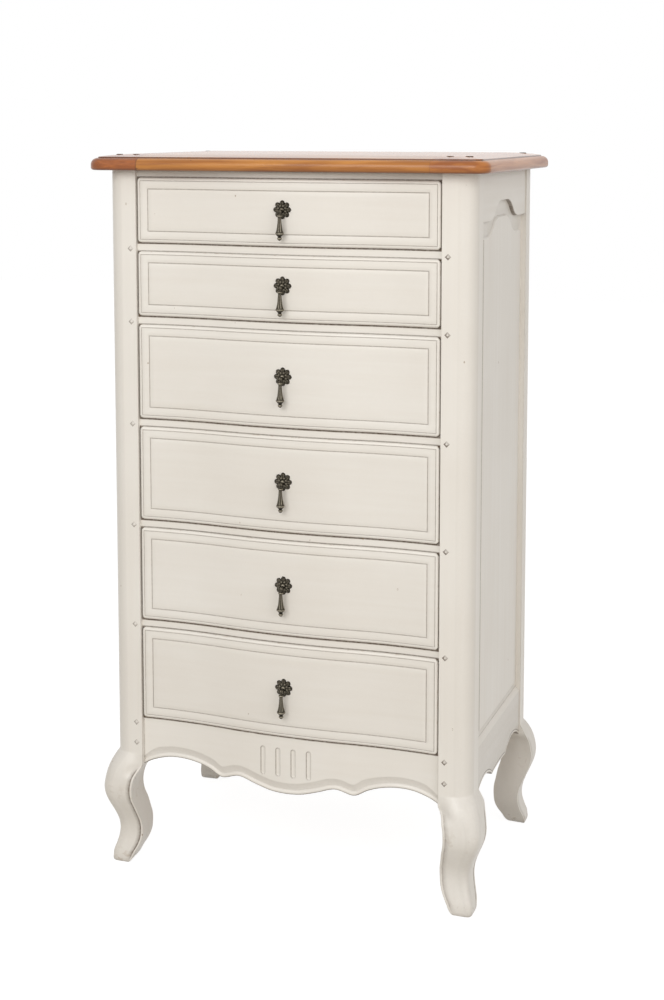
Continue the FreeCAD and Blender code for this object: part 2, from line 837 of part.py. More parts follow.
def make_apron():
    """The apron: arches at the ends, cusps, a hanging middle lobe and four short flutes."""
    body = new_body("front_apron")
    base = size.apron_lobe_level - size.apron_lobe_drop - size.overrun
    plan = draw(body, "apron_plan", "XY_Plane", base, serpentine_board(rail_front, post_line_x, apron_back))
    pad(body, plan, apron_top - base)
    end = (post_line_x, size.apron_end_level)
    shoulder = (size.apron_shoulder_place, size.apron_shoulder_level)
    cusp = (size.apron_cusp_place, size.apron_cusp_level)
    lobe = (size.apron_lobe_place, size.apron_lobe_level)
    arch = bow_radius(end, shoulder, size.apron_arch_rise)
    scoop = bow_radius(cusp, lobe, size.apron_cusp_rise)
    belly = bow_radius((-lobe[0], lobe[1]), lobe, size.apron_lobe_drop)
    edge = draw(body, "apron_edge", "XZ_Plane", -apron_back - size.overrun, [
        (-post_line_x - size.overrun, base - size.overrun),
        (post_line_x + size.overrun, base - size.overrun),
        (post_line_x + size.overrun, end[1]),
        (end[0], end[1], arch, 1),
        shoulder,
        (cusp[0], cusp[1], scoop, 1),
        (lobe[0], lobe[1], belly, -1),
        (-lobe[0], lobe[1], scoop, 1),
        (-cusp[0], cusp[1]),
        (-shoulder[0], shoulder[1], arch, 1),
        (-end[0], end[1]),
        (-post_line_x - size.overrun, end[1])])
    pocket(body, edge, apron_back - rail_front + size.overrun * 2, along_normal=True)
    half = size.flute_width / 2
    bend = size.flute_width * FLUTE_END_SHARE
    low = size.flute_level + half
    high = size.flute_level + size.flute_length - half
    flutes = [[(middle - half, low, bend, 1), (middle + half, low), (middle + half, high, bend, 1),
               (middle - half, high)]
              for middle in [size.flute_pitch * step for step in (-1.5, -0.5, 0.5, 1.5)]]
    lines = draw(body, "apron_flutes", "XZ_Plane", -rail_front - size.flute_depth, *flutes)
    pocket(body, lines, size.flute_depth + size.overrun, along_normal=True)
    return body


sub_parts.append(make_front_rail("front_top_rail", drawers[0][1] - size.rail_lap, body_top))
sub_parts.append(group("drawer_rails", *[
    make_front_rail("drawer_rail_%d" % number, low + size.rail_lap - rail_height, low + size.rail_lap)
    for number, high, low in drawers[:-1]]))
sub_parts.append(make_apron())

# Drawer runners: L-shaped bars between the front frame and the rear posts, one at each side of each drawer

box_half_width = size.box_width / 2
guide_line = box_half_width + size.guide_gap
runner_line = post_line_x - size.runner_width
runner_end = post_line_y + size.runner_seat


def make_runner(label, side, top, start):
    """A bar that carries one side of a drawer and guides it."""
    body = new_body(label)
    section = draw(body, label + "_section", "XZ_Plane", -runner_end, mirrored([
        (runner_line, top - rail_height),
        (post_line_x, top - rail_height),
        (post_line_x, top + size.guide_height),
        (guide_line, top + size.guide_height),
        (guide_line, top),
        (runner_line, top)], side, 1))
    pad(body, section, runner_end - start)
    return body


runners = []
for number, high, low in drawers:
    start = apron_back if number == 6 else -post_line_y
    for name, side in (("left", -1), ("right", 1)):
        runners.append(make_runner("runner_%d_%s" % (number, name), side, low + size.rail_lap, start))
sub_parts.append(group("drawer_runners", *runners))

# Cleats inside the side rails, with screws up into the top


def make_cleat(label, side):
    """A square bar against the side rail and the top, bored for its screws."""
    body = new_body(label)
    plan = draw(body, label + "_plan", "XY_Plane", body_top - size.cleat_height,
                rectangle((side_inner - size.cleat_height) * side, -post_line_y, side_inner * side, post_line_y))
    pad(body, plan, size.cleat_height)
    holes = draw_circles(body, label + "_holes", "XY_Plane", body_top + size.overrun,
                         [(screw_x * side, step) for step in screw_steps], size.screw_radius + size.screw_gap)
    pocket(body, holes, size.cleat_height + size.overrun * 2)
    return body


def make_screws():
    """Round-headed screws driven up through the cleats."""
    head = primitive("Cylinder", "screw_head", Radius=size.screw_head_radius, Height=size.screw_head_height)
    place(head, z=-size.screw_head_height)
    shank = primitive("Cylinder", "screw_shank", Radius=size.screw_radius, Height=size.cleat_height + size.screw_bite)
    master = fuse("screw", head, shank)
    copies = [copy_of(master, "screw_copy", screw_x * side, step, body_top - size.cleat_height)
              for side in (-1, 1) for step in screw_steps]
    return group("top_screws", *copies)


sub_parts.append(group("top_cleats", make_cleat("left_cleat", -1), make_cleat("right_cleat", 1)))
sub_parts.append(make_screws())

# The drawers

lip_front = rail_front - size.lip_gap - size.lip_thickness
lip_reach = post_line_x - size.lip_side_gap
front_back = size.front_thickness - half_depth
box_rear = rear_rail_front - size.box_rear_clearance
side_inside = box_half_width - size.box_side_thickness
bottom_reach = side_inside + size.bottom_tongue
bolt_grip = front_back - lip_front


def serpentine_y(x, front):
    """The y of the serpentine line at a distance x from the middle."""
    across = abs(x)
    if across < size.swell_half_width.number:
        return front.number + size.swell_radius.number - math.sqrt(size.swell_radius.number ** 2 - across ** 2)
    return front.number + serpentine_depth(as_size(across)).number


def on_front_border(edge, high, low):
    """Whether an edge is part of the border of a drawer front's serpentine face."""
    border = (edge_at(edge, 2, high) or edge_at(edge, 2, low)
              or edge_at(edge, 0, lip_reach) or edge_at(edge, 0, -lip_reach))
    points = [edge.valueAt(between(edge.FirstParameter, edge.LastParameter, share)) for share in (0.1, 0.5, 0.9)]
    near = size.lip_thickness.number * 1e-2
    return border and all(abs(point.y - serpentine_y(point.x, lip_front)) < near for point in points)


def make_drawer_front(number, high, low, groove_level, handle_level):
    """A lipped front: it laps over the rails, and its face has a rounded border and one cut line."""
    name = "drawer_%d" % number
    blank = new_body(name + "_blank")
    plan = draw(blank, name + "_plan", "XY_Plane", low, serpentine_board(lip_front, lip_reach, front_back))
    pad(blank, plan, high - low)
    rebate = serpentine_board(lip_front + size.lip_thickness, lip_reach + size.overrun, front_back + size.overrun)
    lower = draw(blank, name + "_lower_rebate", "XY_Plane", low + size.rail_lap + size.slide_gap, rebate)
    pocket(blank, lower, size.rail_lap + size.slide_gap + size.overrun)
    upper = draw(blank, name + "_upper_rebate", "XY_Plane", high - size.rail_lap - size.drawer_play, rebate)
    pocket(blank, upper, size.rail_lap + size.drawer_play + size.overrun, along_normal=True)
    round_edges(blank, name + "_lip_round", size.lip_round, lambda edge: on_front_border(edge, high, low))
    groove = draw(blank, name + "_groove", "XY_Plane", groove_level,
                  rectangle(-bottom_reach, front_back - size.bottom_tongue, bottom_reach, front_back + size.overrun))
    pocket(blank, groove, size.bottom_thickness, along_normal=True)
    hole = draw_circles(blank, name + "_bolt_hole", "XZ_Plane", -front_back - size.overrun,
                        [(NOTHING, handle_level)], size.bolt_radius + size.bolt_play)
    pocket(blank, hole, bolt_grip + size.overrun * 2, along_normal=True)

    core = new_body(name + "_core")
    core_plan = draw(core, name + "_core_plan", "XY_Plane", low,
                     serpentine_board(lip_front + size.front_line_depth, lip_reach, front_back))
    pad(core, core_plan, high - low)
    frames = []
    for ring, inset in (("outer", size.front_line_inset), ("inner", size.front_line_inset + size.front_line_width)):
        frame = primitive("Box", "%s_line_%s" % (name, ring), Length=(lip_reach - inset) * 2,
                          Width=bolt_grip, Height=high - low - inset * 2)
        place(frame, inset - lip_reach, lip_front - size.overrun, low + inset)
        frames.append(frame)
    line = cut(name + "_line", cut(name + "_ring", frames[0], frames[1]), core)
    front = cut(name + "_front", blank, line)
    front.Label = name + "_front"
    return front


def make_drawer_side(label, side, bottom, top, groove_level):
    """A drawer side with a groove for the bottom."""
    body = new_body(label)
    groove_top = groove_level + size.bottom_thickness
    section = draw(body, label + "_section", "XZ_Plane", -box_rear, mirrored([
        (side_inside, bottom), (box_half_width, bottom), (box_half_width, top), (side_inside, top),
        (side_inside, groove_top), (bottom_reach, groove_top),
        (bottom_reach, groove_level), (side_inside, groove_level)], side, 1))
    pad(body, section, box_rear - front_back)
    return body


def make_flower():
    """The handle plate, lying on its back: petals and dome on a disc, a stud with two ears and a pin."""
    petals = []
    for step in range(8):
        petal = primitive("Ellipsoid", "petal_%d" % step, Radius1=size.petal_height,
                          Radius2=size.petal_length, Radius3=size.petal_width)
        angle = math.radians(45 * step)
        place(petal, size.petal_place * math.cos(angle), size.petal_place * math.sin(angle))
        turn(petal, (0, 0, 1), 45 * step)
        petals.append(petal)
    dome = primitive("Sphere", "dome", Radius=size.dome_radius)
    under = primitive("Box", "under_flower", Length=size.plate_radius * 4, Width=size.plate_radius * 4,
                      Height=size.dome_radius + size.overrun)
    place(under, -size.plate_radius * 2, -size.plate_radius * 2, -size.dome_radius - size.overrun)
    flower = cut("flower", fuse("petals_and_dome", dome, *petals), under)
    disc = primitive("Cylinder", "plate_disc", Radius=size.plate_radius, Height=size.plate_thickness)
    stud = primitive("Cylinder", "stud", Radius=size.stud_radius, Height=size.stud_length)
    place(stud, y=-size.pivot_drop)
    ears = []
    for name, start in (("left", -size.ear_gap / 2 - size.ear_thickness), ("right", size.ear_gap / 2)):
        ear = primitive("Box", name + "_ear", Length=size.ear_thickness, Width=size.ear_height,
                        Height=size.pivot_reach + size.ear_reach - size.stud_length + size.ear_root)
        place(ear, start, -size.pivot_drop - size.ear_height / 2, size.stud_length - size.ear_root)
        ears.append(ear)
    pin = primitive("Cylinder", "pin", Radius=size.pin_radius, Height=size.ear_gap + size.ear_thickness * 2)
    turn(pin, (0, 1, 0), 90)
    place(pin, -size.ear_gap / 2 - size.ear_thickness, -size.pivot_drop, size.pivot_reach)
    bolt_length = bolt_grip + size.nut_thickness + size.bolt_end
    bolt = primitive("Cylinder", "bolt", Radius=size.bolt_radius, Height=bolt_length)
    place(bolt, z=-bolt_length)
    return fuse("rosette", flower, disc, stud, ears[0], ears[1], pin, bolt)


def make_nut():
    """The hexagonal nut that holds the handle from inside the drawer."""
    hexagon = primitive("Prism", "nut_blank", Circumradius=size.nut_radius, Height=size.nut_thickness)
    hexagon.Polygon = 6
    bore = primitive("Cylinder", "nut_bore", Radius=size.bolt_radius + size.screw_gap, Height=size.nut_thickness)
    return cut("nut", hexagon, bore)


def make_drop():
    """The hanging drop: an eye on the pin, a neck and collar, a teardrop and a small ball."""
    body = new_body("drop")
    bore = size.pin_radius + size.pin_play
    eye = draw_circles(body, "eye", "YZ_Plane", -size.eye_width / 2, [(NOTHING, NOTHING)], size.eye_radius)
    pad(body, eye, size.eye_width)
    eye_bore = draw_circles(body, "eye_bore", "YZ_Plane", -size.eye_width / 2 - size.overrun,
                            [(NOTHING, NOTHING)], bore)
    pocket(body, eye_bore, size.eye_width + size.overrun * 2, along_normal=True)
    collar_base = -size.collar_place - size.collar_height
    belly = (size.drop_belly_radius, -size.drop_belly_place)
    waist = (size.drop_waist_radius, collar_base)
    shoulder = (between(waist[0], belly[0], DROP_SHOULDER_SHARES[1]),
                between(waist[1], belly[1], DROP_SHOULDER_SHARES[0]))
    foot = (size.drop_foot_radius, -size.drop_foot_place)
    ball = size.drop_ball_radius
    ball_bottom = foot[1] - (ball * ball - foot[0] * foot[0]).root() - ball
    neck_top = -(size.eye_radius + bore) / 2
    profile = draw(body, "drop_profile", "XZ_Plane", NOTHING, [
        (NOTHING, neck_top),
        (NOTHING, ball_bottom, ball, 1),
        (foot[0], foot[1], bow_radius(foot, belly, size.drop_foot_radius / 2), 1),
        (belly[0], belly[1], bow_radius(belly, shoulder, size.neck_radius / 3), -1),
        shoulder,
        waist,
        (size.collar_radius, collar_base),
        (size.collar_radius, -size.collar_place),
        (size.neck_radius, -size.collar_place),
        (size.neck_radius, neck_top)])
    turned = body.newObject("PartDesign::Revolution", "drop_turned")
    turned.Profile = profile
    turned.ReferenceAxis = (profile, ["V_Axis"])
    turned.Angle = 360
    return body


flower = make_flower()
nut = make_nut()
drop = make_drop()

for number, high, low in drawers:
    name = "drawer_%d" % number
    bottom = low + size.rail_lap + size.slide_gap
    top = high - size.rail_lap - size.drawer_play - size.box_side_drop
    groove_level = bottom + size.bottom_lift
    groove_top = groove_level + size.bottom_thickness
    handle_level = (high + low) / 2 + size.handle_raise
    sub_parts.append(make_drawer_front(number, high, low, groove_level, handle_level))
    sub_parts.append(group(name + "_sides", *[
        make_drawer_side("%s_%s_side" % (name, hand), side, bottom, top, groove_level)
        for hand, side in (("left", -1), ("right", 1))]))
    sub_parts.append(make_board(name + "_back", (-side_inside, box_rear - size.box_back_thickness, groove_top),
                                (side_inside, box_rear, top)))
    sub_parts.append(make_board(name + "_bottom", (-bottom_reach, front_back - size.bottom_tongue, groove_level),
                                (bottom_reach, box_rear, groove_top)))
    plate = copy_of(flower, name + "_plate", NOTHING, lip_front, handle_level)
    back_nut = copy_of(nut, name + "_nut", NOTHING, front_back + size.nut_thickness, handle_level)
    for piece in (plate, back_nut):
        turn(piece, (1, 0, 0), 90)
    sub_parts.append(group(name + "_rosette", plate, back_nut))
    sub_parts.append(group(name + "_drop", copy_of(drop, name + "_drop_copy", NOTHING,
                                                   lip_front - size.pivot_reach,
                                                   handle_level - size.pivot_drop)))

# Check every object, then write each sub-part

doc.recompute()
for item in doc.Objects:
    if "Invalid" in item.State or "Error" in item.State:
        raise ValueError("%s failed: %s" % (item.Name, item.State))
for item in sub_parts:
    if item.Shape.isNull() or not item.Shape.isValid() or not item.Shape.Solids:
        raise ValueError("%s has no sound solid" % item.Label)

os.makedirs("parts", exist_ok=True)
for item in sub_parts:
    item.Shape.exportStep("parts/%s.step" % item.Label)
print("%d sub-parts written" % len(sub_parts))
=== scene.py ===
import math
import bmesh
import bpy
import numpy as np
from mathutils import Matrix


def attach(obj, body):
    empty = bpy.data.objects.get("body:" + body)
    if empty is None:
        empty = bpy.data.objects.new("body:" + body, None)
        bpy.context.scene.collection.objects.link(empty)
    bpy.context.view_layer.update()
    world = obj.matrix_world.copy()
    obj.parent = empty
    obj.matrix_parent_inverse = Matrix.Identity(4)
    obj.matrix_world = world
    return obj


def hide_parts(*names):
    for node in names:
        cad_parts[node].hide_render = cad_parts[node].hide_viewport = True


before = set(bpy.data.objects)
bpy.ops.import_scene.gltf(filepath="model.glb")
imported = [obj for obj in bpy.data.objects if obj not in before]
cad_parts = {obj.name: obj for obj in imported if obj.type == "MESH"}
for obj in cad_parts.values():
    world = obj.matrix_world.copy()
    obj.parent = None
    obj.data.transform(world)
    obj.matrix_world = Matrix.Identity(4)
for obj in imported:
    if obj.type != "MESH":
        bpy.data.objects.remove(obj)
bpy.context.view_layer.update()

# THE CORNER POSTS AND LEGS
# Four beech posts, each turned from the square into a cabriole leg at its lower end, brush-painted ivory,
#  rubbed back and glazed brown in the hollows, with painted shade on the legs. Rails are tenoned into them and
#  pegged.

HEIGHT = 1200.0
BODY_TOP = 1173.0
HALF_WIDTH = 310.0
HALF_DEPTH = 200.0
POST_SIDE = 52.0
POST_X = HALF_WIDTH - POST_SIDE
POST_Y = HALF_DEPTH - POST_SIDE
LEG_TOP = 193.0

# Height above the floor, how far the leg stands out past the post, its width, its outer corner and how
# square that corner is: 2 for a round one, more for a squarer one.
LEG_LEVELS = np.array([0, 8, 18, 30, 43, 57, 72, 87, 102, 117, 132, 147, 161, 168, 174, 183, 189, 192, 193.0])
LEG_SWELL = np.array([5.8, 5.0, 4.1, 0.6, -2.4, -3.4, -1.0, 4.5, 11, 16.4, 18.4, 17.1, 14.4, 12.3, 10.0,
                      5.5, 2.0, 0.3, 0])
LEG_WIDTH = np.array([32.5, 37.2, 41, 44, 45.4, 45.8, 48, 50.8, 54.5, 56.5, 57.6, 58, 59.5, 61.5, 62,
                      57.5, 54, 52.3, 52])
LEG_CORNER = np.array([12, 13, 14, 16, 18, 20, 21, 22, 22, 22, 22, 23, 24, 25, 26, 27, 28, 28, 28.0])
LEG_SQUARE = np.array([3.4, 3.6, 3.8, 4.0, 4.0, 4.0, 3.6, 3.0, 2.6, 2.3, 2.2, 2.1, 2, 2, 2, 2, 2, 2, 2.0])


def tone(red, green, blue):
    """A colour written as it is seen on screen, 0 to 255, in the linear values that a shader takes."""
    seen = np.array([red, green, blue]) / 255
    linear = np.where(seen <= 0.04045, seen / 12.92, ((seen + 0.055) / 1.055) ** 2.4)
    return (*linear.tolist(), 1.0)


def add_node(tree, kind, sockets=None, **settings):
    """A shader node. Each socket, by name or number, gets a value or the output that feeds it."""
    made = tree.nodes.new("ShaderNode" + kind)
    for name, value in settings.items():
        setattr(made, name, value)
    for key, value in (sockets or {}).items():
        if isinstance(value, bpy.types.NodeSocket):
            tree.links.new(value, made.inputs[key])
        else:
            made.inputs[key].default_value = value
    return made


def blend_colours(tree, share, first, second, mode="MIX"):
    """The second colour laid over the first, as much as share says."""
    made = add_node(tree, "Mix", {0: share, 6: first, 7: second}, data_type="RGBA", blend_type=mode)
    return made.outputs[2]


def span(tree, value, low, high, to_low=0.0, to_high=1.0):
    """A value taken from one range to another and held within it."""
    made = add_node(tree, "MapRange", {0: value, 1: low, 2: high, 3: to_low, 4: to_high})
    return made.outputs[0]


def combine(tree, first, second, operation="MULTIPLY"):
    """Two values put together: multiplied, unless another operation is named."""
    return add_node(tree, "Math", {0: first, 1: second}, operation=operation).outputs[0]


def object_place(tree):
    """Where a point lies in its piece's own frame, which is the chest's."""
    return add_node(tree, "TexCoord").outputs["Object"]


def speckle(tree, place, scale, detail=2.0, distortion=0.0):
    """A soft cloudy pattern of values round a half."""
    made = add_node(tree, "TexNoise", {"Vector": place, "Scale": scale, "Detail": detail,
                                       "Distortion": distortion})
    return made.outputs[0]


def new_group(name, entries, exits):
    """An empty node group, with the node that brings its inputs and the one that takes its outputs."""
    tree = bpy.data.node_groups.new(name, "ShaderNodeTree")
    for label, kind in entries:
        tree.interface.new_socket(label, in_out="INPUT", socket_type="NodeSocket" + kind)
    for label, kind in exits:
        tree.interface.new_socket(label, in_out="OUTPUT", socket_type="NodeSocket" + kind)
    return tree, tree.nodes.new("NodeGroupInput"), tree.nodes.new("NodeGroupOutput")


def make_paint_layers():
    """Brushed ivory over a warm ground: slow mottling, brush streaks along Stretch, brown glaze and painted
    shade where the glaze input says, rubbed patches where Worn says, and small scattered dents that hold the
    glaze."""
    tree, entry, leave = new_group(
        "brushed_ivory", [("Glaze and shade", "Float"), ("Worn", "Float"), ("Stretch", "Vector")],
        [("Color", "Color"), ("Roughness", "Float"), ("Height", "Float")])
    place = object_place(tree)
    stretched = add_node(tree, "Mapping", {"Vector": place, "Scale": entry.outputs["Stretch"]}).outputs[0]
    slow = speckle(tree, place, 4.0, 3.0)
    streaks = speckle(tree, stretched, 1.0, 3.0, 0.2)
    fine = speckle(tree, place, 210.0, 2.0)
    colour = blend_colours(tree, span(tree, slow, 0.35, 0.65), tone(232, 227, 219), tone(237, 233, 226))
    colour = blend_colours(tree, span(tree, streaks, 0.3, 0.75, 0.0, 0.2), colour, tone(222, 214, 202))
    broken = span(tree, fine, 0.25, 0.6, 0.72, 1.0)
    glaze_and_shade_share = combine(tree, entry.outputs["Glaze and shade"], broken)
    colour = blend_colours(tree, glaze_and_shade_share, colour, tone(90, 72, 54))
    rub_pattern = span(tree, speckle(tree, place, 90.0, 4.0, 0.5), 0.57, 0.64)
    rubbed = combine(tree, entry.outputs["Worn"], rub_pattern)
    colour = blend_colours(tree, rubbed, colour, tone(160, 134, 104))
    bent = add_node(tree, "VectorMath", {0: place, 1: (1.0, 1.0, 0.62)}, operation="MULTIPLY").outputs[0]
    cells = add_node(tree, "TexVoronoi", {"Vector": bent, "Scale": 26.0}).outputs["Distance"]
    dents = span(tree, cells, 0.022, 0.04, 1.0, 0.0)
    dents = combine(tree, dents, span(tree, fine, 0.42, 0.5))
    colour = blend_colours(tree, combine(tree, dents, 0.75), colour, tone(150, 126, 98))
    tree.links.new(colour, leave.inputs["Color"])
    tree.links.new(span(tree, streaks, 0.2, 0.8, 0.33, 0.46), leave.inputs["Roughness"])
    lift = combine(tree, span(tree, streaks, 0.2, 0.8, 0.0, 0.6), combine(tree, dents, -1.0), "ADD")
    tree.links.new(combine(tree, lift, combine(tree, fine, 0.15), "ADD"), leave.inputs["Height"])
    return tree


paint_layers = make_paint_layers()


def surface_mark(tree, name):
    """The value that the mesh keeps for each point under this name."""
    return add_node(tree, "Attribute", attribute_name=name).outputs["Fac"]


def new_material(name):
    """A material with nodes, its tree and its shader."""
    material = bpy.data.materials.new(name)
    material.use_nodes = True
    tree = material.node_tree
    return material, tree, tree.nodes["Principled BSDF"]


def add_bump(tree, shader, height, strength, depth):
    """The fine relief of a surface, as deep as depth says in metres."""
    bump = add_node(tree, "Bump", {"Height": height, "Strength": strength, "Distance": depth})
    tree.links.new(bump.outputs[0], shader.inputs["Normal"])


def make_paint(name, stretch):
    """Satin ivory paint whose brush streaks run the way the brush did."""
    material, tree, shader = new_material(name)
    layers = add_node(tree, "Group", node_tree=paint_layers)
    tree.links.new(surface_mark(tree, "glaze_and_shade"), layers.inputs["Glaze and shade"])
    tree.links.new(surface_mark(tree, "worn"), layers.inputs["Worn"])
    layers.inputs["Stretch"].default_value = stretch
    tree.links.new(layers.outputs["Color"], shader.inputs["Base Color"])
    tree.links.new(layers.outputs["Roughness"], shader.inputs["Roughness"])
    add_bump(tree, shader, layers.outputs["Height"], 0.35, 0.0003)
    return material


upright_paint = make_paint("ivory_upright", (95.0, 95.0, 3.0))
level_paint = make_paint("ivory_level", (3.0, 95.0, 95.0))


def flow(places, values, at):
    """A smooth curve through points: cubic pieces whose slope at each point is that of its neighbours."""
    slopes = np.gradient(values, places)
    first = np.clip(np.searchsorted(places, at, side="right") - 1, 0, len(places) - 2)
    step = places[first + 1] - places[first]
    t = (at - places[first]) / step
    return ((1 + 2 * t) * (1 - t) ** 2 * values[first] + t * (1 - t) ** 2 * step * slopes[first]
            + t ** 2 * (3 - 2 * t) * values[first + 1] + t ** 2 * (t - 1) * step * slopes[first + 1])


def ease(value, low, high):
    """0 below low, 1 above high, and a soft S between them."""
    t = np.clip((value - low) / (high - low), 0, 1)
    return t * t * (3 - 2 * t)


def sheet_of(points, closed=True, glaze_and_shade=0.0, worn=0.0):
    """A grid of points in millimetres, rows by columns by 3, with its marks; closed joins the last
    column to the first."""
    shape = points.shape[:2]
    return {"points": points, "closed": closed,
            "glaze_and_shade": np.broadcast_to(glaze_and_shade, shape), "worn": np.broadcast_to(worn, shape)}


def grid_quads(index):
    """The corners of every cell of a grid of point numbers."""
    quads = np.stack([index[:-1, :-1], index[:-1, 1:], index[1:, 1:], index[1:, :-1]], axis=-1)
    return quads.reshape(-1, 4).tolist()


def build_piece(name, sheets, material, body, nodes=(), crease=30.0):
    """One object from sheets of quads: equal points are merged, open ends filled, faces turned outwards
    and everything flatter than the crease angle shaded smooth."""
    points, faces, marks, start = [], [], {"glaze_and_shade": [], "worn": []}, 0
    for sheet in sheets:
        rows, columns = sheet["points"].shape[:2]
        index = start + np.arange(rows * columns).reshape(rows, columns)
        if sheet["closed"]:
            index = np.concatenate([index, index[:, :1]], axis=1)
        faces += grid_quads(index)
        points.append(sheet["points"].reshape(-1, 3) / 1000)
        for key in marks:
            marks[key].append(sheet[key].reshape(-1))
        start += rows * columns
    mesh = bpy.data.meshes.new(name)
    mesh.from_pydata(np.concatenate(points), [], faces)
    for key, values in marks.items():
        mesh.attributes.new(key, "FLOAT", "POINT").data.foreach_set(
            "value", np.concatenate(values).astype(np.float32))
    work = bmesh.new()
    work.from_mesh(mesh)
    bmesh.ops.remove_doubles(work, verts=work.verts, dist=1e-6)
    bmesh.ops.dissolve_degenerate(work, edges=work.edges, dist=1e-7)
    bmesh.ops.holes_fill(work, edges=[edge for edge in work.edges if edge.is_boundary], sides=0)
    bmesh.ops.recalc_face_normals(work, faces=work.faces)
    work.to_mesh(mesh)
    work.free()
    mesh.shade_smooth()
    mesh.set_sharp_from_angle(angle=math.radians(crease))
    mesh.materials.append(material)
    piece = bpy.data.objects.new(name, mesh)
    bpy.context.scene.collection.objects.link(piece)
    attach(piece, body)
    if nodes:
        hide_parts(*nodes)
    return piece


# The narrow bead on a leg's inner edges: distance from the edge, depth below the face, glaze in its groove with
# painted shade fading out beside it.
BEAD_PLACES = np.array([0, 0.5, 1.4, 2.4, 3.3, 4.0, 4.7, 5.6, 8.0, 12.0])
BEAD_DEPTHS = np.array([1.3, 0.6, 0.15, 0.0, 0.3, 1.0, 1.4, 1.2, 0.7, 0.0])
BEAD_GLAZE_AND_SHADE = np.array([0.25, 0.05, 0.0, 0.0, 0.15, 0.75, 1.0, 0.6, 0.3, 0.0])
# The heights over which it begins and ends, and over which the knee sinks back into the post's front, as
# far from the inner edge as MERGE_REACH. Elsewhere that edge has a small bevel.
BEAD_START, BEAD_END, MERGE = (2, 16), (158, 172), (150, 172)
MERGE_REACH = 26
BEVEL = 0.5


def post_sheet(side, back):
    """A square section carried up the post. Its outer faces stand out by the swell of the height, its
    outer corner is a rounded square whose sine and cosine are raised to a power that falls as it gets
    squarer, and a bead runs down both inner edges of the leg. At the leg's top the front's inner edge
    stays in the post's face, and the swell grows from it. The hidden inner corner is held in a little,
    to the real leg's thickness. The other posts have x or y turned over."""
    level = np.concatenate([[0, 0.7, 2.0, 4.0], np.arange(7, 187, 3.0),
                            [188.5, 190.5, 192, 193, 196, 230, 600, 1100, BODY_TOP]])
    on_leg = np.clip(level, 0, LEG_TOP)
    tuck = np.interp(level, [0, 0.7, 2.0, 4.0, 7.0], [3.8, 2.1, 1.0, 0.25, 0.0])
    swell = flow(LEG_LEVELS, LEG_SWELL, on_leg) - tuck
    width = flow(LEG_LEVELS, LEG_WIDTH, on_leg) - 2 * tuck
    corner = flow(LEG_LEVELS, LEG_CORNER, on_leg)
    square = 2 / flow(LEG_LEVELS, LEG_SQUARE, on_leg)
    beaded = ((1 - ease(level, *BEAD_END)) * ease(level, *BEAD_START))[:, None]
    level, swell, width, corner, square = (each[:, None] for each in (level, swell, width, corner, square))
    past_bead = np.array([0.25, 0.5, 0.75, 1.0])
    bead = BEAD_PLACES * np.minimum((width - corner) / 15.0, 1)
    bead_end = bead[:, -1:]
    along = np.concatenate([bead, bead_end + (width - corner - bead_end) * past_bead], axis=1)
    plain = np.zeros(len(past_bead))
    edge = np.arange(along.shape[1]) == 0
    depth = np.concatenate([BEAD_DEPTHS, plain]) * beaded + BEVEL * edge * (1 - beaded)
    front_depth = depth + swell * ease(level, *MERGE) * (1 - ease(along, 0, MERGE_REACH))
    reach_x, reach_y = HALF_WIDTH + swell, HALF_DEPTH + swell
    front = np.stack([reach_x - width + along, reach_y - front_depth], axis=-1)
    angle = np.linspace(0, math.pi / 2, 17)[1:-1]
    arc = np.stack([reach_x - corner * (1 - np.sin(angle) ** square),
                    reach_y - corner * (1 - np.cos(angle) ** square)], axis=-1)
    flank = np.stack([reach_x - depth, reach_y - width + along], axis=-1)[:, ::-1]
    share_x = np.array([0.975, 0.95, 0.6, 0.0, 0.0, 0.0, 0.0])
    share_y = share_x[::-1]
    slim = (1.7 + 2.2 * ease(level, 95, 150)) * (1 - ease(level, 163, 174)) * (1 - share_x) * (1 - share_y)
    inner = np.stack([reach_x - width + (width - depth[:, :1]) * share_x + slim,
                      reach_y - width + (width - front_depth[:, :1]) * share_y + slim], axis=-1)
    loop = np.concatenate([front, arc, flank, inner], axis=1)
    height = np.broadcast_to(level, loop.shape[:2])
    points = np.stack([loop[..., 0] * side, loop[..., 1] * back, height], axis=-1)
    bead_glaze_and_shade = np.concatenate([BEAD_GLAZE_AND_SHADE, plain]) * beaded + 0.45 * edge * (1 - beaded)
    # The whole leg below its top is greyed a little as painted shade; the foot's last 14 mm are darkened more.
    leg_shade_and_foot_darkening = 0.16 * (1 - ease(level, 0, 14)) + 0.07 * (1 - ease(level, 188, 194))
    # Painted shade: the front bead is darkened fully on the left posts and at under half on the right ones.
    bead_shade_share = 1.0 if side < 0 else 0.45
    glaze_and_shade = np.concatenate([bead_shade_share * bead_glaze_and_shade, np.full(arc.shape[:2], 0.05), 0.5 * bead_glaze_and_shade[:, ::-1],
                            np.zeros(inner.shape[:2])], axis=1)
    worn = 0.35 * (1 - ease(level, 4, 34)) + 0.16 * np.exp(-((level - 125) / 14) ** 2)
    return sheet_of(points, glaze_and_shade=np.clip(glaze_and_shade + leg_shade_and_foot_darkening, 0, 1), worn=worn)


for label, side, back in (("post_front_left", -1, -1), ("post_front_right", 1, -1),
                          ("post_rear_left", -1, 1), ("post_rear_right", 1, 1)):
    build_piece(label + "_wood", [post_sheet(side, back)], upright_paint, "chest", [label], crease=38)

# THE FRONT FRAME
# Beech rails between the posts, sawn to a serpentine in plan: a swelling middle with a hollow each side.
# They are painted with the posts. Brown glaze stays in the corners over the drawer lips, and a painted shadow
# lies under each lip and under the top.

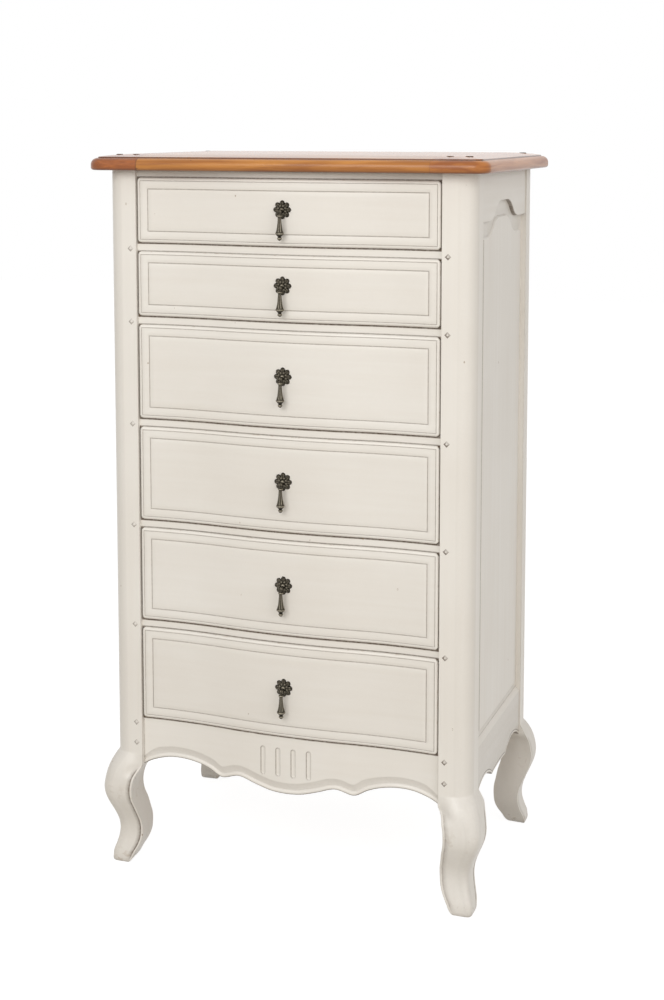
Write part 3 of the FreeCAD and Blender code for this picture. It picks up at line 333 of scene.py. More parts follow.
SWELL_RADIUS = 1160.0
SWELL_REACH = 110.0
HOLLOW_RADIUS = 860.0
RAIL_SETBACK = 6.5
TOP_REVEAL = 11.5
RAIL_REVEAL = 14.0
RAIL_LAP = 3.5
RAIL_HEIGHT = RAIL_REVEAL + 2 * RAIL_LAP
EASED = 0.6
FRONT_HEIGHTS = (106.0, 106.0, 155.6, 155.6, 155.6, 155.6)
SWELL_RISE = SWELL_RADIUS - math.sqrt(SWELL_RADIUS ** 2 - SWELL_REACH ** 2)


def serpentine(x):
    """How far the front lies behind its foremost point: one arc about the middle, and past it on each
    side a hollow arc that leaves it without a corner."""
    across = np.abs(x)
    ratio = HOLLOW_RADIUS / SWELL_RADIUS
    centre_x = SWELL_REACH * (1 + ratio)
    centre_y = SWELL_RISE + (SWELL_RISE - SWELL_RADIUS) * ratio
    swelling = SWELL_RADIUS - np.sqrt(SWELL_RADIUS ** 2 - np.minimum(across, SWELL_REACH) ** 2)
    reach = np.maximum(across, SWELL_REACH) - centre_x
    return np.where(across < SWELL_REACH, swelling, centre_y + np.sqrt(HOLLOW_RADIUS ** 2 - reach ** 2))


RAIL_FRONT = RAIL_SETBACK - HALF_DEPTH - float(serpentine(np.array(POST_X)))
drawer_levels = []
level = BODY_TOP - TOP_REVEAL
for height in FRONT_HEIGHTS:
    drawer_levels.append((level, level - height))
    level -= height + RAIL_REVEAL


def carried_rail(x, depth, height, follow, back=-POST_Y):
    """A section carried along x. Each of its points has a depth behind the serpentine face, or behind
    nothing where follow is 0 and it lies on the straight back."""
    curve = RAIL_FRONT + serpentine(x)[:, None] + depth
    y = np.where(follow > 0, curve, back)
    x_grid = np.broadcast_to(x[:, None], y.shape)
    return np.stack([x_grid, y, np.broadcast_to(height, y.shape)], axis=-1)


def rail_sheet(low, high, shaded):
    """A rail: a flat face with its long edges eased, and glaze on the rows of the face that the lips cover.
    shaded gives the heights of the rows near its lower and its upper edge, and then how dark each is: glaze in
    the corner over a lip below, painted shade under what stands out above."""
    x = np.linspace(-POST_X, POST_X, 65)
    height = np.array([low, low + EASED, *shaded[0], *shaded[1], high - EASED, high, high, low])
    glaze_and_shade = np.array([1.0, 1.0, *shaded[2], *shaded[3], 1.0, 1.0, 0, 0])
    face = len(height) - 2
    depth = np.concatenate([[EASED], np.zeros(face - 2), [EASED], [0, 0]])
    follow = np.concatenate([np.ones(face), [0, 0]])
    points = carried_rail(x, depth[None, :], height[None, :], follow[None, :])
    return sheet_of(points, glaze_and_shade=glaze_and_shade[None, :])


def lip_shadow_level(low):
    """The height from which the painted shadow below a lip is measured: further below the lip the lower the
    drawer."""
    return low - (HEIGHT + 50 - low) / 700


# The lower rows hold glaze in the corner over the lip below; the upper ones are a painted shadow under the lip
# above.
between_drawers = [rail_sheet(low + RAIL_LAP - RAIL_HEIGHT, low + RAIL_LAP,
                              ((low - 14.6, low - 13.4, low - 12.3),
                               (lip_shadow_level(low) - 2.6, lip_shadow_level(low) - 1.6, lip_shadow_level(low) - 1.0),
                               (1.0, 0.55, 0.0), (0.0, 0.9, 1.0)))
                   for high, low in drawer_levels[:-1]]
build_piece("drawer_rail_wood", between_drawers, level_paint, "chest", ["drawer_rails"])

first_lip = drawer_levels[0][0]
# Glaze in the corner over the first lip, and painted shade on the rows just under the top.
build_piece("top_rail_wood", [rail_sheet(first_lip - RAIL_LAP, BODY_TOP,
                                         ((first_lip - 0.6, first_lip + 0.9, first_lip + 2.2),
                                          (BODY_TOP - 4, BODY_TOP - 2.5, BODY_TOP - 1),
                                          (1.0, 0.8, 0.0), (0.0, 0.1, 0.4)))],
            level_paint, "chest", ["front_top_rail"])

# THE APRON
# A wider beech board below the drawers. Its lower edge is sawn to arches, cusps and a hanging lobe, with a
# bead worked along it below a shallow sunk slope, and four short flutes cut with a gouge.

APRON_BACK = RAIL_SETBACK - HALF_DEPTH + 22.0
APRON_TOP = drawer_levels[-1][1] + RAIL_LAP
FLUTE_X = np.array([-39.75, -13.25, 13.25, 39.75])
FLUTE_HALF = 4.0
FLUTE_DEPTH = 2.0
FLUTE_LOW, FLUTE_HIGH = 187.0, 235.0
# The sawn lower edge on either side of the middle: distance from the middle, height.
SAWN_ACROSS = np.array([-20, -10, 0, 10, 20, 30, 40, 50, 60, 70, 79, 87, 94, 101, 108, 114, 119, 124, 130,
                        136, 145, 155, 165, 175, 185, 195, 205, 215, 225, 235, 245, 252, 258.0])
SAWN_LEVELS = np.array([159.4, 158.6, 158.3, 158.6, 159.4, 161, 163.6, 166.4, 169.5, 173, 175.5, 175.9, 174.3,
                        172, 169.8, 168.9, 169.6, 171.8, 175.2, 178.6, 182.3, 185.4, 187.7, 189.3, 190.3,
                        190.7, 190.4, 189.3, 187.2, 184.2, 180.5, 176.9, 173.3])
# The moulding along the lower edge: distance from the edge, depth below the face, painted shade, dark at the sawn
# edge and soft in the sunk slope.
EDGE_PLACES = np.array([0, 0.5, 1.2, 2.2, 3.4, 4.8, 5.9, 6.8, 7.6, 9.5, 12.0, 14.8, 17.0, 18.2, 19.4])
EDGE_DEPTHS = np.array([2.6, 1.3, 0.5, 0.1, 0.0, 0.15, 0.7, 1.7, 2.3, 2.3, 1.9, 1.2, 0.6, 0.15, 0.0])
EDGE_SHADE = np.array([1.0, 1.0, 0.8, 0.2, 0, 0, 0.03, 0.12, 0.16, 0.14, 0.13, 0.12, 0.13, 0.16, 0.03])
EDGE_BEAD = 6.8


def bow(x, start, end, rise):
    """The height of the arc over a chord between two points that rises so far at its middle."""
    run = (end[0] - start[0], end[1] - start[1])
    chord = math.hypot(*run)
    radius = (chord ** 2 / 4 + rise ** 2) / (2 * abs(rise))
    middle = ((start[0] + end[0]) / 2, (start[1] + end[1]) / 2)
    sign = math.copysign(1, rise)
    offset = (radius - abs(rise)) * sign / chord
    centre = (middle[0] + run[1] * offset, middle[1] - run[0] * offset)
    return centre[1] + sign * np.sqrt(np.maximum(radius ** 2 - (x - centre[0]) ** 2, 0))


def apron_edge(x):
    """The apron's lower edge: a hanging lobe, two small scoops, and an arch to each leg."""
    return flow(SAWN_ACROSS, SAWN_LEVELS, np.abs(x))


def softened(curve, x, reach):
    """A curve averaged over a short stretch, which rounds its corners."""
    steps = np.linspace(-reach, reach, 9)
    weights = 1 - np.abs(steps) / (reach * 1.25)
    ends = np.clip(x[:, None] + steps, -POST_X, POST_X)
    return (curve(ends) * weights).sum(axis=1) / weights.sum()


def apron_sheet():
    """The apron as one loop per x: up the moulded face, over the top and down the back. The moulding
    keeps its distance from the softened edge, its slope narrows to half towards the posts, and each flute
    is a half round about its middle line."""
    x = np.unique(np.concatenate([np.linspace(-POST_X, POST_X, 173), np.linspace(-48, 48, 193),
                                  np.linspace(108, 128, 21), -np.linspace(108, 128, 21)]))
    edge = apron_edge(x)
    guide = softened(apron_edge, x, 6.0)
    slope = np.gradient(guide, x)
    spread = np.sqrt(1 + np.minimum(np.abs(slope), 1.2) ** 2)
    settle = np.clip(EDGE_PLACES / 12.0, 0, 1)
    narrowed = 1 - 0.5 * ease(np.abs(x), POST_X - 26, POST_X)[:, None]
    places = np.minimum(EDGE_PLACES, EDGE_BEAD) + np.maximum(EDGE_PLACES - EDGE_BEAD, 0) * narrowed
    moulded = (1 - settle) * edge[:, None] + settle * guide[:, None] + places * spread[:, None]
    upper = moulded[:, -1:] + (APRON_TOP - moulded[:, -1:]) * np.linspace(0, 1, 72)[1:]
    height = np.concatenate([moulded, upper], axis=1)
    depth = np.concatenate([np.broadcast_to(EDGE_DEPTHS, moulded.shape), np.zeros(upper.shape)], axis=1)
    glaze_and_shade = np.concatenate([np.broadcast_to(EDGE_SHADE, moulded.shape), np.zeros(upper.shape)], axis=1)
    nearest = FLUTE_X[np.argmin(np.abs(x[:, None] - FLUTE_X), axis=1)]
    over = np.maximum(np.maximum(FLUTE_LOW + FLUTE_HALF - height, height - FLUTE_HIGH + FLUTE_HALF), 0)
    away = np.hypot((x - nearest)[:, None], over)
    depth = depth + FLUTE_DEPTH * np.sqrt(np.clip(1 - (away / FLUTE_HALF) ** 2, 0, 1))
    # Painted shade round each flute's rim, darker on its left side than on its right.
    flute_shade = np.where((x - nearest)[:, None] < 0, 0.75, 0.35)
    glaze_and_shade = glaze_and_shade + flute_shade * np.exp(-((away - FLUTE_HALF + 0.3) / 0.65) ** 2)
    # A painted shadow along the apron's top, under the lowest drawer's lip.
    lip_shadow = lip_shadow_level(drawer_levels[-1][1])
    glaze_and_shade = glaze_and_shade + ease(height, lip_shadow - 2.2, lip_shadow - 1.3)
    glaze_and_shade = glaze_and_shade + 0.5 * ease(np.abs(x)[:, None], POST_X - 1.2, POST_X)
    back_height = np.stack([np.full(len(x), APRON_TOP), edge], axis=1)
    height = np.concatenate([height, back_height], axis=1)
    depth = np.concatenate([depth, np.zeros(back_height.shape)], axis=1)
    glaze_and_shade = np.concatenate([glaze_and_shade, np.zeros(back_height.shape)], axis=1)
    follow = np.ones(height.shape)
    follow[:, -2:] = 0
    points = carried_rail(x, depth, height, follow, APRON_BACK)
    return sheet_of(points, glaze_and_shade=np.clip(glaze_and_shade, 0, 1))


build_piece("apron_wood", [apron_sheet()], level_paint, "chest", ["front_apron"], crease=36)

# THE PEGS OF THE FRONT JOINTS
# Seven square oak pegs in each front post, set cornerwise through the tenons of the rails and left a
# little proud with faceted heads. They were painted with the posts, and glaze sits round them.

PEG_X = POST_X + 10
# One level with each rail, and two with the apron's wide tenon.
PEG_LEVELS = [low - 10 for high, low in drawer_levels[:-1]] + [APRON_TOP - 13, APRON_TOP - 48]
PEG_HALF = 6.6 / math.sqrt(2)


def squares(x, z, reach, forward):
    """Squares on one corner round a point of the posts' front, each of its own size and distance forwards."""
    reach, forward = np.array(reach)[:, None], np.array(forward)[:, None]
    corner = np.arange(4) * math.pi / 2
    return np.stack([x + PEG_HALF * reach * np.cos(corner),
                     np.broadcast_to(-HALF_DEPTH - forward, (len(reach), 4)),
                     z + PEG_HALF * reach * np.sin(corner)], axis=-1)


def peg_head(x, z):
    """A four-sided heap of ever smaller squares, from behind the post's face forwards. Glaze darkens its
    foot, and painted shade lies thickest on the corners that point down and to the left, fainter on the left
    post."""
    points = squares(x, z, [1.0, 1.0, 0.94, 0.5, 0.3, 0.0], [-4.0, 0.05, 0.25, 1.0, 1.2, 1.2])
    shaded = np.array([0.55, 0.5, 1.0, 1.0]) * (1.0 if x > 0 else 0.6)
    return sheet_of(points, glaze_and_shade=np.array([1.0, 1.0, 1.0, 0.85, 0.25, 0.05])[:, None] * shaded)


def peg_stain(x, z):
    """The glaze caught round a peg: a paper-thin square frame on the post's face."""
    points = squares(x, z, [0.3, 1.04, 1.1, 1.13, 0.3], [0.02, 0.06, 0.05, 0.0, -0.3])
    return sheet_of(points, glaze_and_shade=np.array([0.9, 0.6, 0.3, 0.1, 0.1])[:, None])


heads = [shape(side * PEG_X, z) for side in (-1, 1) for z in PEG_LEVELS for shape in (peg_head, peg_stain)]
build_piece("post_peg_heads", heads, upright_paint, "chest", ["post_pegs"], crease=12)

# THE SIDES
# Each side is a frame of two beech rails tenoned into the posts round a raised-field panel that lies loose
# in grooves. The upper rail has a shaped arch, the lower one a bevel above and a sawn lower edge.

SIDE_OUTER = HALF_WIDTH - 2
SIDE_INNER = SIDE_OUTER - 22
PANEL_OUTER = SIDE_OUTER - 7
PANEL_INNER = PANEL_OUTER - 10
ARCH_LEVEL = 1095.0
ARCH_RISE = 30.0
ARCH_CROWN = 20.0
ARCH_FOOT = 98.0
BASE_TOP = 262.0
BASE_LEVEL = 175.0
SHOULDER_LEVEL = 180.0
SHOULDER_Y = (45.0, 52.0)
BEVEL_DROP = 6.6
FIELD_MARGIN = 22.0
FIELD_LEVEL = BASE_TOP + 11
FIELD_BELOW_RAIL = 24.0


def arch_rise(y):
    """The raised arch along the side: level, up an S of two equal arcs to a level crown, and down again."""
    half_run, half_rise = (ARCH_FOOT - ARCH_CROWN) / 2, ARCH_RISE / 2
    bend = (half_run ** 2 + half_rise ** 2) / (2 * half_rise)
    way = np.clip(ARCH_FOOT - np.abs(y), 0, 2 * half_run)
    first = bend - np.sqrt(bend ** 2 - np.minimum(way, half_run) ** 2)
    second = ARCH_RISE - bend + np.sqrt(bend ** 2 - np.minimum(2 * half_run - way, half_run) ** 2)
    return np.where(way < half_run, first, second)


def base_edge(y):
    """The lower side rail's edge: an arch from each leg to a small shoulder, and a low one between."""
    across = np.abs(y)
    near, far = SHOULDER_Y
    return np.select([across <= near, across <= far],
                     [bow(across, (-near, BASE_LEVEL), (near, BASE_LEVEL), 2.5),
                      np.interp(across, SHOULDER_Y, [BASE_LEVEL, SHOULDER_LEVEL])],
                     bow(across, (far, SHOULDER_LEVEL), (POST_Y, BASE_LEVEL), 14.0))


# The places along the side that the rails are carried through, closer together in the arch and shoulders.
SIDE_Y = np.unique(np.concatenate([np.linspace(-POST_Y, POST_Y, 75), np.linspace(19, 99, 49),
                                   -np.linspace(19, 99, 49), np.linspace(42, 54, 13), -np.linspace(42, 54, 13)]))
SIDE_ENDS = 0.25 * ease(np.abs(SIDE_Y), POST_Y - 0.8, POST_Y)[:, None]


def side_loops(side, x, height, glaze_and_shade, worn=0.0):
    """A section carried along y, with the x and height of every point of every loop."""
    y = np.broadcast_to(SIDE_Y[:, None], height.shape)
    points = np.stack([np.broadcast_to(x, height.shape) * side, y, height], axis=-1)
    return sheet_of(points, glaze_and_shade=glaze_and_shade, worn=worn)


def top_rail_sheet(side):
    """The upper rail: its lower edge follows the arch with a small round, the rest of it is straight. Painted
    shade darkens the arched edge and the underside behind it.
    """
    edge = (ARCH_LEVEL + arch_rise(SIDE_Y))[:, None]
    rise = np.array([0, 0.25, 0.9, 1.8, 4.0])
    x = np.array([SIDE_OUTER - 1.8, SIDE_OUTER - 0.8, SIDE_OUTER - 0.2, SIDE_OUTER, SIDE_OUTER,
                  SIDE_OUTER, SIDE_INNER, SIDE_INNER])
    height = np.concatenate([edge + rise, np.full((len(SIDE_Y), 2), BODY_TOP), edge], axis=1)
    glaze_and_shade = np.array([0.85, 0.5, 0.12, 0.0, 0, 0, 0, 0.8]) + SIDE_ENDS * np.array([1, 1, 1, 1, 1, 1, 0, 0])
    return side_loops(side, x, height, np.clip(glaze_and_shade, 0, 1))


def base_rail_sheet(side):
    """The lower rail: a thin bead along its sawn edge, a flat face and a bevel up to the panel."""
    edge = base_edge(SIDE_Y)[:, None]
    rise = np.array([0, 0.5, 1.3, 2.4, 3.6, 4.3, 5.0, 6.0])
    sunk = np.array([1.8, 0.8, 0.2, 0.0, 0.3, 0.8, 0.9, 0.2])
    x = np.concatenate([SIDE_OUTER - sunk, [SIDE_OUTER, SIDE_OUTER - 0.3, SIDE_OUTER - BEVEL_DROP,
                                            SIDE_OUTER - BEVEL_DROP - 0.8, PANEL_INNER, SIDE_INNER, SIDE_INNER]])
    below_top = np.array([BEVEL_DROP + 0.8, BEVEL_DROP, 0.3, 0, 0, 0])
    flat = np.broadcast_to(BASE_TOP - below_top, (len(SIDE_Y), len(below_top)))
    height = np.concatenate([edge + rise, flat, edge], axis=1)
    glaze_and_shade = np.array([0.9, 0.6, 0.1, 0, 0.1, 0.8, 0.85, 0.2, 0.14, 0, 0, 0.5, 0.6, 0, 0])
    return side_loops(side, x, height, np.clip(glaze_and_shade + SIDE_ENDS, 0, 1))


def panel_sheet(side):
    """The panel: its height over the ground is that of a bevel by the nearest of the distances to the
    field's upright, lower and upper borders. The upper border follows the arch below the rail."""
    reach = POST_Y - FIELD_MARGIN
    insets = np.array([-0.6, 0.0, 0.5, 2.2, 3.0, 3.5, 4.5])
    y = np.unique(np.concatenate([[-POST_Y, -POST_Y + 1.2, POST_Y - 1.2, POST_Y], -reach + insets, reach - insets,
                                  np.linspace(-reach + 4.5, reach - 4.5, 91)]))
    field_top = ARCH_LEVEL - FIELD_BELOW_RAIL + arch_rise(y)
    low_rows = FIELD_LEVEL + insets
    high_rows = field_top[:, None] - insets[::-1]
    low = np.concatenate([[BASE_TOP - 8, BASE_TOP, BASE_TOP + 1.4], low_rows, [500.0, 800.0, 1040.0]])
    rail = (ARCH_LEVEL + arch_rise(y))[:, None]
    height = np.concatenate([np.broadcast_to(low, (len(y), len(low))), high_rows, rail - 1.6, rail, rail + 10],
                            axis=1)
    inward = np.minimum(np.minimum(reach - np.abs(y)[:, None], height - FIELD_LEVEL),
                        field_top[:, None] - height)
    x = PANEL_OUTER + np.interp(inward, [-0.5, 0, 0.5, 3.0, 3.5], [0, 0.05, 0.7, 3.3, 3.5])
    level_border = height - FIELD_LEVEL < inward + 0.01
    upper_border = field_top[:, None] - height < inward + 0.01
    border_glaze = np.where(level_border, 0.4, np.where(upper_border, 0.3, 0.12))
    glaze_and_shade = border_glaze * np.exp(-((inward + 0.1) / 0.6) ** 2)
    # Painted shade: a dark line beside the bevel of the field's front border.
    front_border = (y[:, None] < 0) & ~level_border & ~upper_border
    glaze_and_shade = glaze_and_shade + 0.6 * front_border * np.exp(-((inward - 3.2) / 0.6) ** 2)
    glaze_and_shade = glaze_and_shade + 0.5 * np.exp(-(height - BASE_TOP) ** 2)
    glaze_and_shade = glaze_and_shade + 0.08 * ease(np.abs(y)[:, None], POST_Y - 1.2, POST_Y)
    back = np.stack([np.full(len(y), BASE_TOP - 8), np.full(len(y), 1150.0)], axis=1)[:, ::-1]
    height = np.concatenate([height, back], axis=1)
    x = np.concatenate([x, np.full(back.shape, PANEL_INNER)], axis=1)
    glaze_and_shade = np.concatenate([glaze_and_shade, np.zeros(back.shape)], axis=1)
    points = np.stack([x * side, np.broadcast_to(y[:, None], x.shape), height], axis=-1)
    return sheet_of(points, glaze_and_shade=np.clip(glaze_and_shade, 0, 1))


fore_aft_paint = make_paint("ivory_fore_and_aft", (95.0, 3.0, 95.0))
for name, side in (("left", -1), ("right", 1)):
    build_piece("side_%s_arched_rail" % name, [top_rail_sheet(side)], fore_aft_paint, "chest",
                ["side_%s_top_rail" % name], crease=34)
    build_piece("side_%s_shaped_rail" % name, [base_rail_sheet(side)], fore_aft_paint, "chest",
                ["side_%s_bottom_rail" % name], crease=34)
    build_piece("side_%s_field_panel" % name, [panel_sheet(side)], upright_paint, "chest",
                ["side_%s_panel" % name], crease=24)

# THE BACK, THE RUNNERS AND THE CLEATS
# Unpainted beech and thin ply that nobody sees: rails and a panel behind, L-shaped bars that carry the
# drawers, and cleats with round-headed steel screws that hold the top from below.


def make_grain_layers():
    """Sawn boards: rings drawn out along Stretch, fine pores, and slow changes of tone."""
    tree, entry, leave = new_group(
        "board_grain", [("Early", "Color"), ("Late", "Color"), ("Stretch", "Vector")],
        [("Color", "Color"), ("Roughness", "Float"), ("Height", "Float")])
    place = object_place(tree)
    drawn = add_node(tree, "Mapping", {"Vector": place, "Scale": entry.outputs["Stretch"]}).outputs[0]
    rings = speckle(tree, drawn, 1.0, 5.0, 0.9)
    finer = add_node(tree, "VectorMath", {0: drawn, 1: (4.5, 4.5, 4.5)}, operation="MULTIPLY").outputs[0]
    pores = speckle(tree, finer, 1.0, 3.0, 0.3)
    slow = speckle(tree, place, 3.0, 2.0)
    colour = blend_colours(tree, span(tree, rings, 0.36, 0.66), entry.outputs["Early"], entry.outputs["Late"])
    colour = blend_colours(tree, span(tree, pores, 0.56, 0.7, 0.0, 0.4), colour, entry.outputs["Late"])
    dim = span(tree, slow, 0.3, 0.7, 0.9, 1.06)
    dimmed = add_node(tree, "VectorMath", {0: colour}, operation="SCALE")
    tree.links.new(dim, dimmed.inputs["Scale"])
    tree.links.new(dimmed.outputs[0], leave.inputs["Color"])
    tree.links.new(span(tree, rings, 0.3, 0.7, 0.42, 0.6), leave.inputs["Roughness"])
    tree.links.new(span(tree, pores, 0.45, 0.7, 0.0, -1.0), leave.inputs["Height"])
    return tree


grain_layers = make_grain_layers()


def add_grain(tree, early, late, stretch):
    """The grain of a board, with the colours of its early and late wood and the way that it runs."""
    grain = add_node(tree, "Group", node_tree=grain_layers)
    for label, value in (("Early", early), ("Late", late), ("Stretch", stretch)):
        grain.inputs[label].default_value = value
    return grain


def make_bare_wood(name, stretch):
    """Planed, unfinished beech."""
    material, tree, shader = new_material(name)
    grain = add_grain(tree, tone(214, 190, 156), tone(184, 152, 114), stretch)
    tree.links.new(grain.outputs["Color"], shader.inputs["Base Color"])
    tree.links.new(span(tree, grain.outputs["Roughness"], 0.4, 0.6, 0.55, 0.72), shader.inputs["Roughness"])
    add_bump(tree, shader, grain.outputs["Height"], 0.3, 0.0003)
    return material


bare_across = make_bare_wood("bare_beech_across", (4.0, 90.0, 90.0))
bare_along = make_bare_wood("bare_beech_along", (90.0, 4.0, 90.0))
bare_upright = make_bare_wood("bare_beech_upright", (90.0, 90.0, 4.0))


def dress_node(name, material):
    """Give a CAD node that stays its own finish."""
    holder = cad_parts[name]
    for place in holder.material_slots:
        place.link = "OBJECT"
        place.material = material


for node in ("rear_top_rail", "rear_bottom_rail"):
    dress_node(node, bare_across)
dress_node("back_panel", bare_upright)
dress_node("drawer_runners", bare_along)
dress_node("top_cleats", bare_along)


def make_steel():
    """Bright steel with the faint swirls of a driver and a thin grey film."""
    material, tree, shader = new_material("steel_screws")
    place = object_place(tree)
    film = speckle(tree, place, 900.0, 3.0)
    colour = blend_colours(tree, span(tree, film, 0.35, 0.65), tone(150, 148, 144), tone(196, 195, 192))
    tree.links.new(colour, shader.inputs["Base Color"])
    tree.links.new(span(tree, film, 0.3, 0.7, 0.28, 0.5), shader.inputs["Roughness"])
    shader.inputs["Metallic"].default_value = 1.0
    return material


steel = make_steel()
dress_node("top_screws", steel)

# THE TOP
# Solid cherry stained honey-brown under a glossy varnish: a long board tongued into two cross-grain ends,
# held by dark square pegs. A large round over a small one is worked along its edge below a fine step.

TOP_OVERHANG = 25
TOP_X = HALF_WIDTH + TOP_OVERHANG
TOP_Y = HALF_DEPTH + TOP_OVERHANG
TOP_THICK = HEIGHT - BODY_TOP
TOP_JOINT = TOP_X - 90
TOP_CORNER = 25.0
TOP_PEG_Y = TOP_Y - 45
TOP_PEG_SIDE = 9
TOP_SAG = 0.9
# The worked edge, from the flat above to the flat below: inset from the outline, height, dark stain and painted
# shade, polish.
# The board falls away a little towards its edge before the dark step.
round_over = np.linspace(0, math.pi / 2, 10)
small_round = np.linspace(0, math.pi / 2, 5)[1:]
EDGE_INSET = np.concatenate([[58, 46, 34, 24, 16, 12.8, 12.3, 12.1], 11.8 * (1 - np.sin(round_over)), [0],
                             4.5 * (1 - np.cos(small_round)), [58]])
EDGE_HEIGHT = np.concatenate([[-TOP_SAG, -1.6, -2.7, -3.8, -4.8, -5.2, -5.9, -6.9],
                              -7.2 - 10.8 * (1 - np.cos(round_over)), [-22.5],
                              -22.5 - 4.5 * np.sin(small_round), [-TOP_THICK]])
# Stain fills the dark step; the straight below the large round and the small round that turns under are darkened
# as painted shade.
EDGE_STAIN_AND_SHADE = np.array([0, 0, 0, 0, 0.05, 0.3, 1.0, 1.0, 0.7, 0.25, 0.08, 0, 0, 0, 0, 0, 0.04, 0.08, 0.22, 0.4,
                       0.6, 0.75, 0.85, 0.5])
EDGE_POLISH = np.where(EDGE_HEIGHT > -6, 1.0, 0.0)
# The joints between the boards: width and depth of the eased edges, and the stain in the left and in the
# right one.
SEAM_WIDTH, SEAM_DEPTH, SEAM_STAIN = 1.2, 0.25, (0.7, 0.2)


def make_varnished(name, stretch, early, late):
    """Stained cherry under varnish: grain of the board, darker stain and painted shade where the glaze mark says,
    worn specks, and a higher gloss where the worn mark says that the flat is polished by use."""
    material, tree, shader = new_material(name)
    grain = add_grain(tree, early, late, stretch)
    place = object_place(tree)
    flecks = add_node(tree, "TexVoronoi", {"Vector": place, "Scale": 48.0}).outputs["Distance"]
    flecks = span(tree, flecks, 0.05, 0.1, 0.7, 0.0)
    colour = blend_colours(tree, flecks, grain.outputs["Color"], tone(92, 52, 26))
    colour = blend_colours(tree, surface_mark(tree, "glaze_and_shade"), colour, tone(96, 54, 28))
    tree.links.new(colour, shader.inputs["Base Color"])
    tree.links.new(span(tree, grain.outputs["Roughness"], 0.4, 0.6, 0.26, 0.38), shader.inputs["Roughness"])
    add_bump(tree, shader, grain.outputs["Height"], 0.05, 0.0002)
    shader.inputs["Specular IOR Level"].default_value = 0.25
    tree.links.new(span(tree, surface_mark(tree, "worn"), 0.0, 1.0, 0.38, 0.9), shader.inputs["Coat Weight"])
    shader.inputs["Coat Roughness"].default_value = 0.2
    return material


board_wood = make_varnished("cherry_board", (5.0, 70.0, 70.0), tone(200, 134, 62), tone(156, 94, 38))
# The left end is given darker tones than the board and the right end: painted shade.
left_wood_shaded = make_varnished("cherry_left_end_shaded", (20.0, 6.0, 110.0), tone(180, 106, 54), tone(138, 76, 36))
right_wood = make_varnished("cherry_right_end", (20.0, 6.0, 110.0), tone(194, 124, 58), tone(156, 90, 40))


def top_board_sheet():
    """The worked edge, its mirror and the flats between them make one section, carried along x."""
    x = np.concatenate([[-TOP_JOINT, -TOP_JOINT + 0.4, -TOP_JOINT + 1.6],
                        np.linspace(-TOP_JOINT + 9, TOP_JOINT - 9, 31),
                        [TOP_JOINT - 1.6, TOP_JOINT - 0.4, TOP_JOINT]])[:, None]
    y = np.concatenate([EDGE_INSET - TOP_Y, (TOP_Y - EDGE_INSET)[::-1]])
    z, stain_and_shade, polish = (np.append(row, row[::-1]) for row in (EDGE_HEIGHT + HEIGHT, EDGE_STAIN_AND_SHADE, EDGE_POLISH))
    seam = ease(np.abs(x), TOP_JOINT - SEAM_WIDTH, TOP_JOINT)
    z = z - SEAM_DEPTH * seam * (z > HEIGHT - 1)
    points = np.stack([np.broadcast_to(x, z.shape), np.broadcast_to(y, z.shape), z], axis=-1)
    seam = seam * np.where(x < 0, *SEAM_STAIN)
    return sheet_of(points, glaze_and_shade=np.clip(stain_and_shade + seam, 0, 1), worn=polish)


def top_end_sheet(side):
    """The worked edge carried round three sides of a board with round corners; insets beyond the corner's
    radius end at square corners. Past the edge, the flats close on the middle line from both sides."""
    turn = np.linspace(0, math.pi / 2, 15)
    corner_x = TOP_X - TOP_CORNER
    close = TOP_X - 75
    straight = TOP_JOINT + np.array([0, 0.4, 1.6, 12, 35])
    path_x = np.concatenate([straight, corner_x + TOP_CORNER * np.sin(turn), [TOP_X] * 9])
    path_y = np.concatenate([np.full(len(straight), -TOP_Y), -TOP_Y + TOP_CORNER * (1 - np.cos(turn)),
                             np.linspace(-TOP_Y + TOP_CORNER, 0, 10)[1:]])
    out_x = np.concatenate([np.zeros(len(straight)), np.sin(turn), np.ones(9)])
    out_y = np.concatenate([-np.ones(len(straight)), -np.cos(turn), np.zeros(9)])
    mirror = slice(-2, None, -1)
    path_x, out_x = np.append(path_x, path_x[mirror]), np.append(out_x, out_x[mirror])
    path_y, out_y = np.append(path_y, -path_y[mirror]), np.append(out_y, -out_y[mirror])
    x = np.minimum(path_x[:, None] - out_x[:, None] * EDGE_INSET, TOP_X - EDGE_INSET)
    y = np.clip(path_y[:, None] - out_y[:, None] * EDGE_INSET, EDGE_INSET - TOP_Y, TOP_Y - EDGE_INSET)
    z = np.broadcast_to(EDGE_HEIGHT + HEIGHT, x.shape)
    close_x = np.minimum(path_x, close)[:, None]
    middle = np.zeros(close_x.shape)
    x = np.concatenate([close_x, x, close_x], axis=1)
    y = np.concatenate([middle, y, middle], axis=1)
    z = np.concatenate([middle + HEIGHT - TOP_SAG, z, middle + HEIGHT - TOP_THICK], axis=1)
    seam = 1 - ease(path_x, TOP_JOINT, TOP_JOINT + SEAM_WIDTH)[:, None]
    stain_and_shade = np.concatenate([[0], EDGE_STAIN_AND_SHADE, [0]]) + SEAM_STAIN[side > 0] * seam
    z = z - SEAM_DEPTH * seam * (z > HEIGHT - 1)
    points = np.stack([x * side, y, z], axis=-1)
    polish = np.concatenate([[1], EDGE_POLISH, [0]])
    return sheet_of(points, closed=False, glaze_and_shade=np.clip(stain_and_shade, 0, 1), worn=polish)


build_piece("top_board_wood", [top_board_sheet()], board_wood, "chest", ["top_board"], 26)
for name, side, wood in (("left", -1, left_wood_shaded), ("right", 1, right_wood)):
    build_piece("top_%s_end_wood" % name, [top_end_sheet(side)], wood, "chest", ["top_%s_end" % name],
                26)


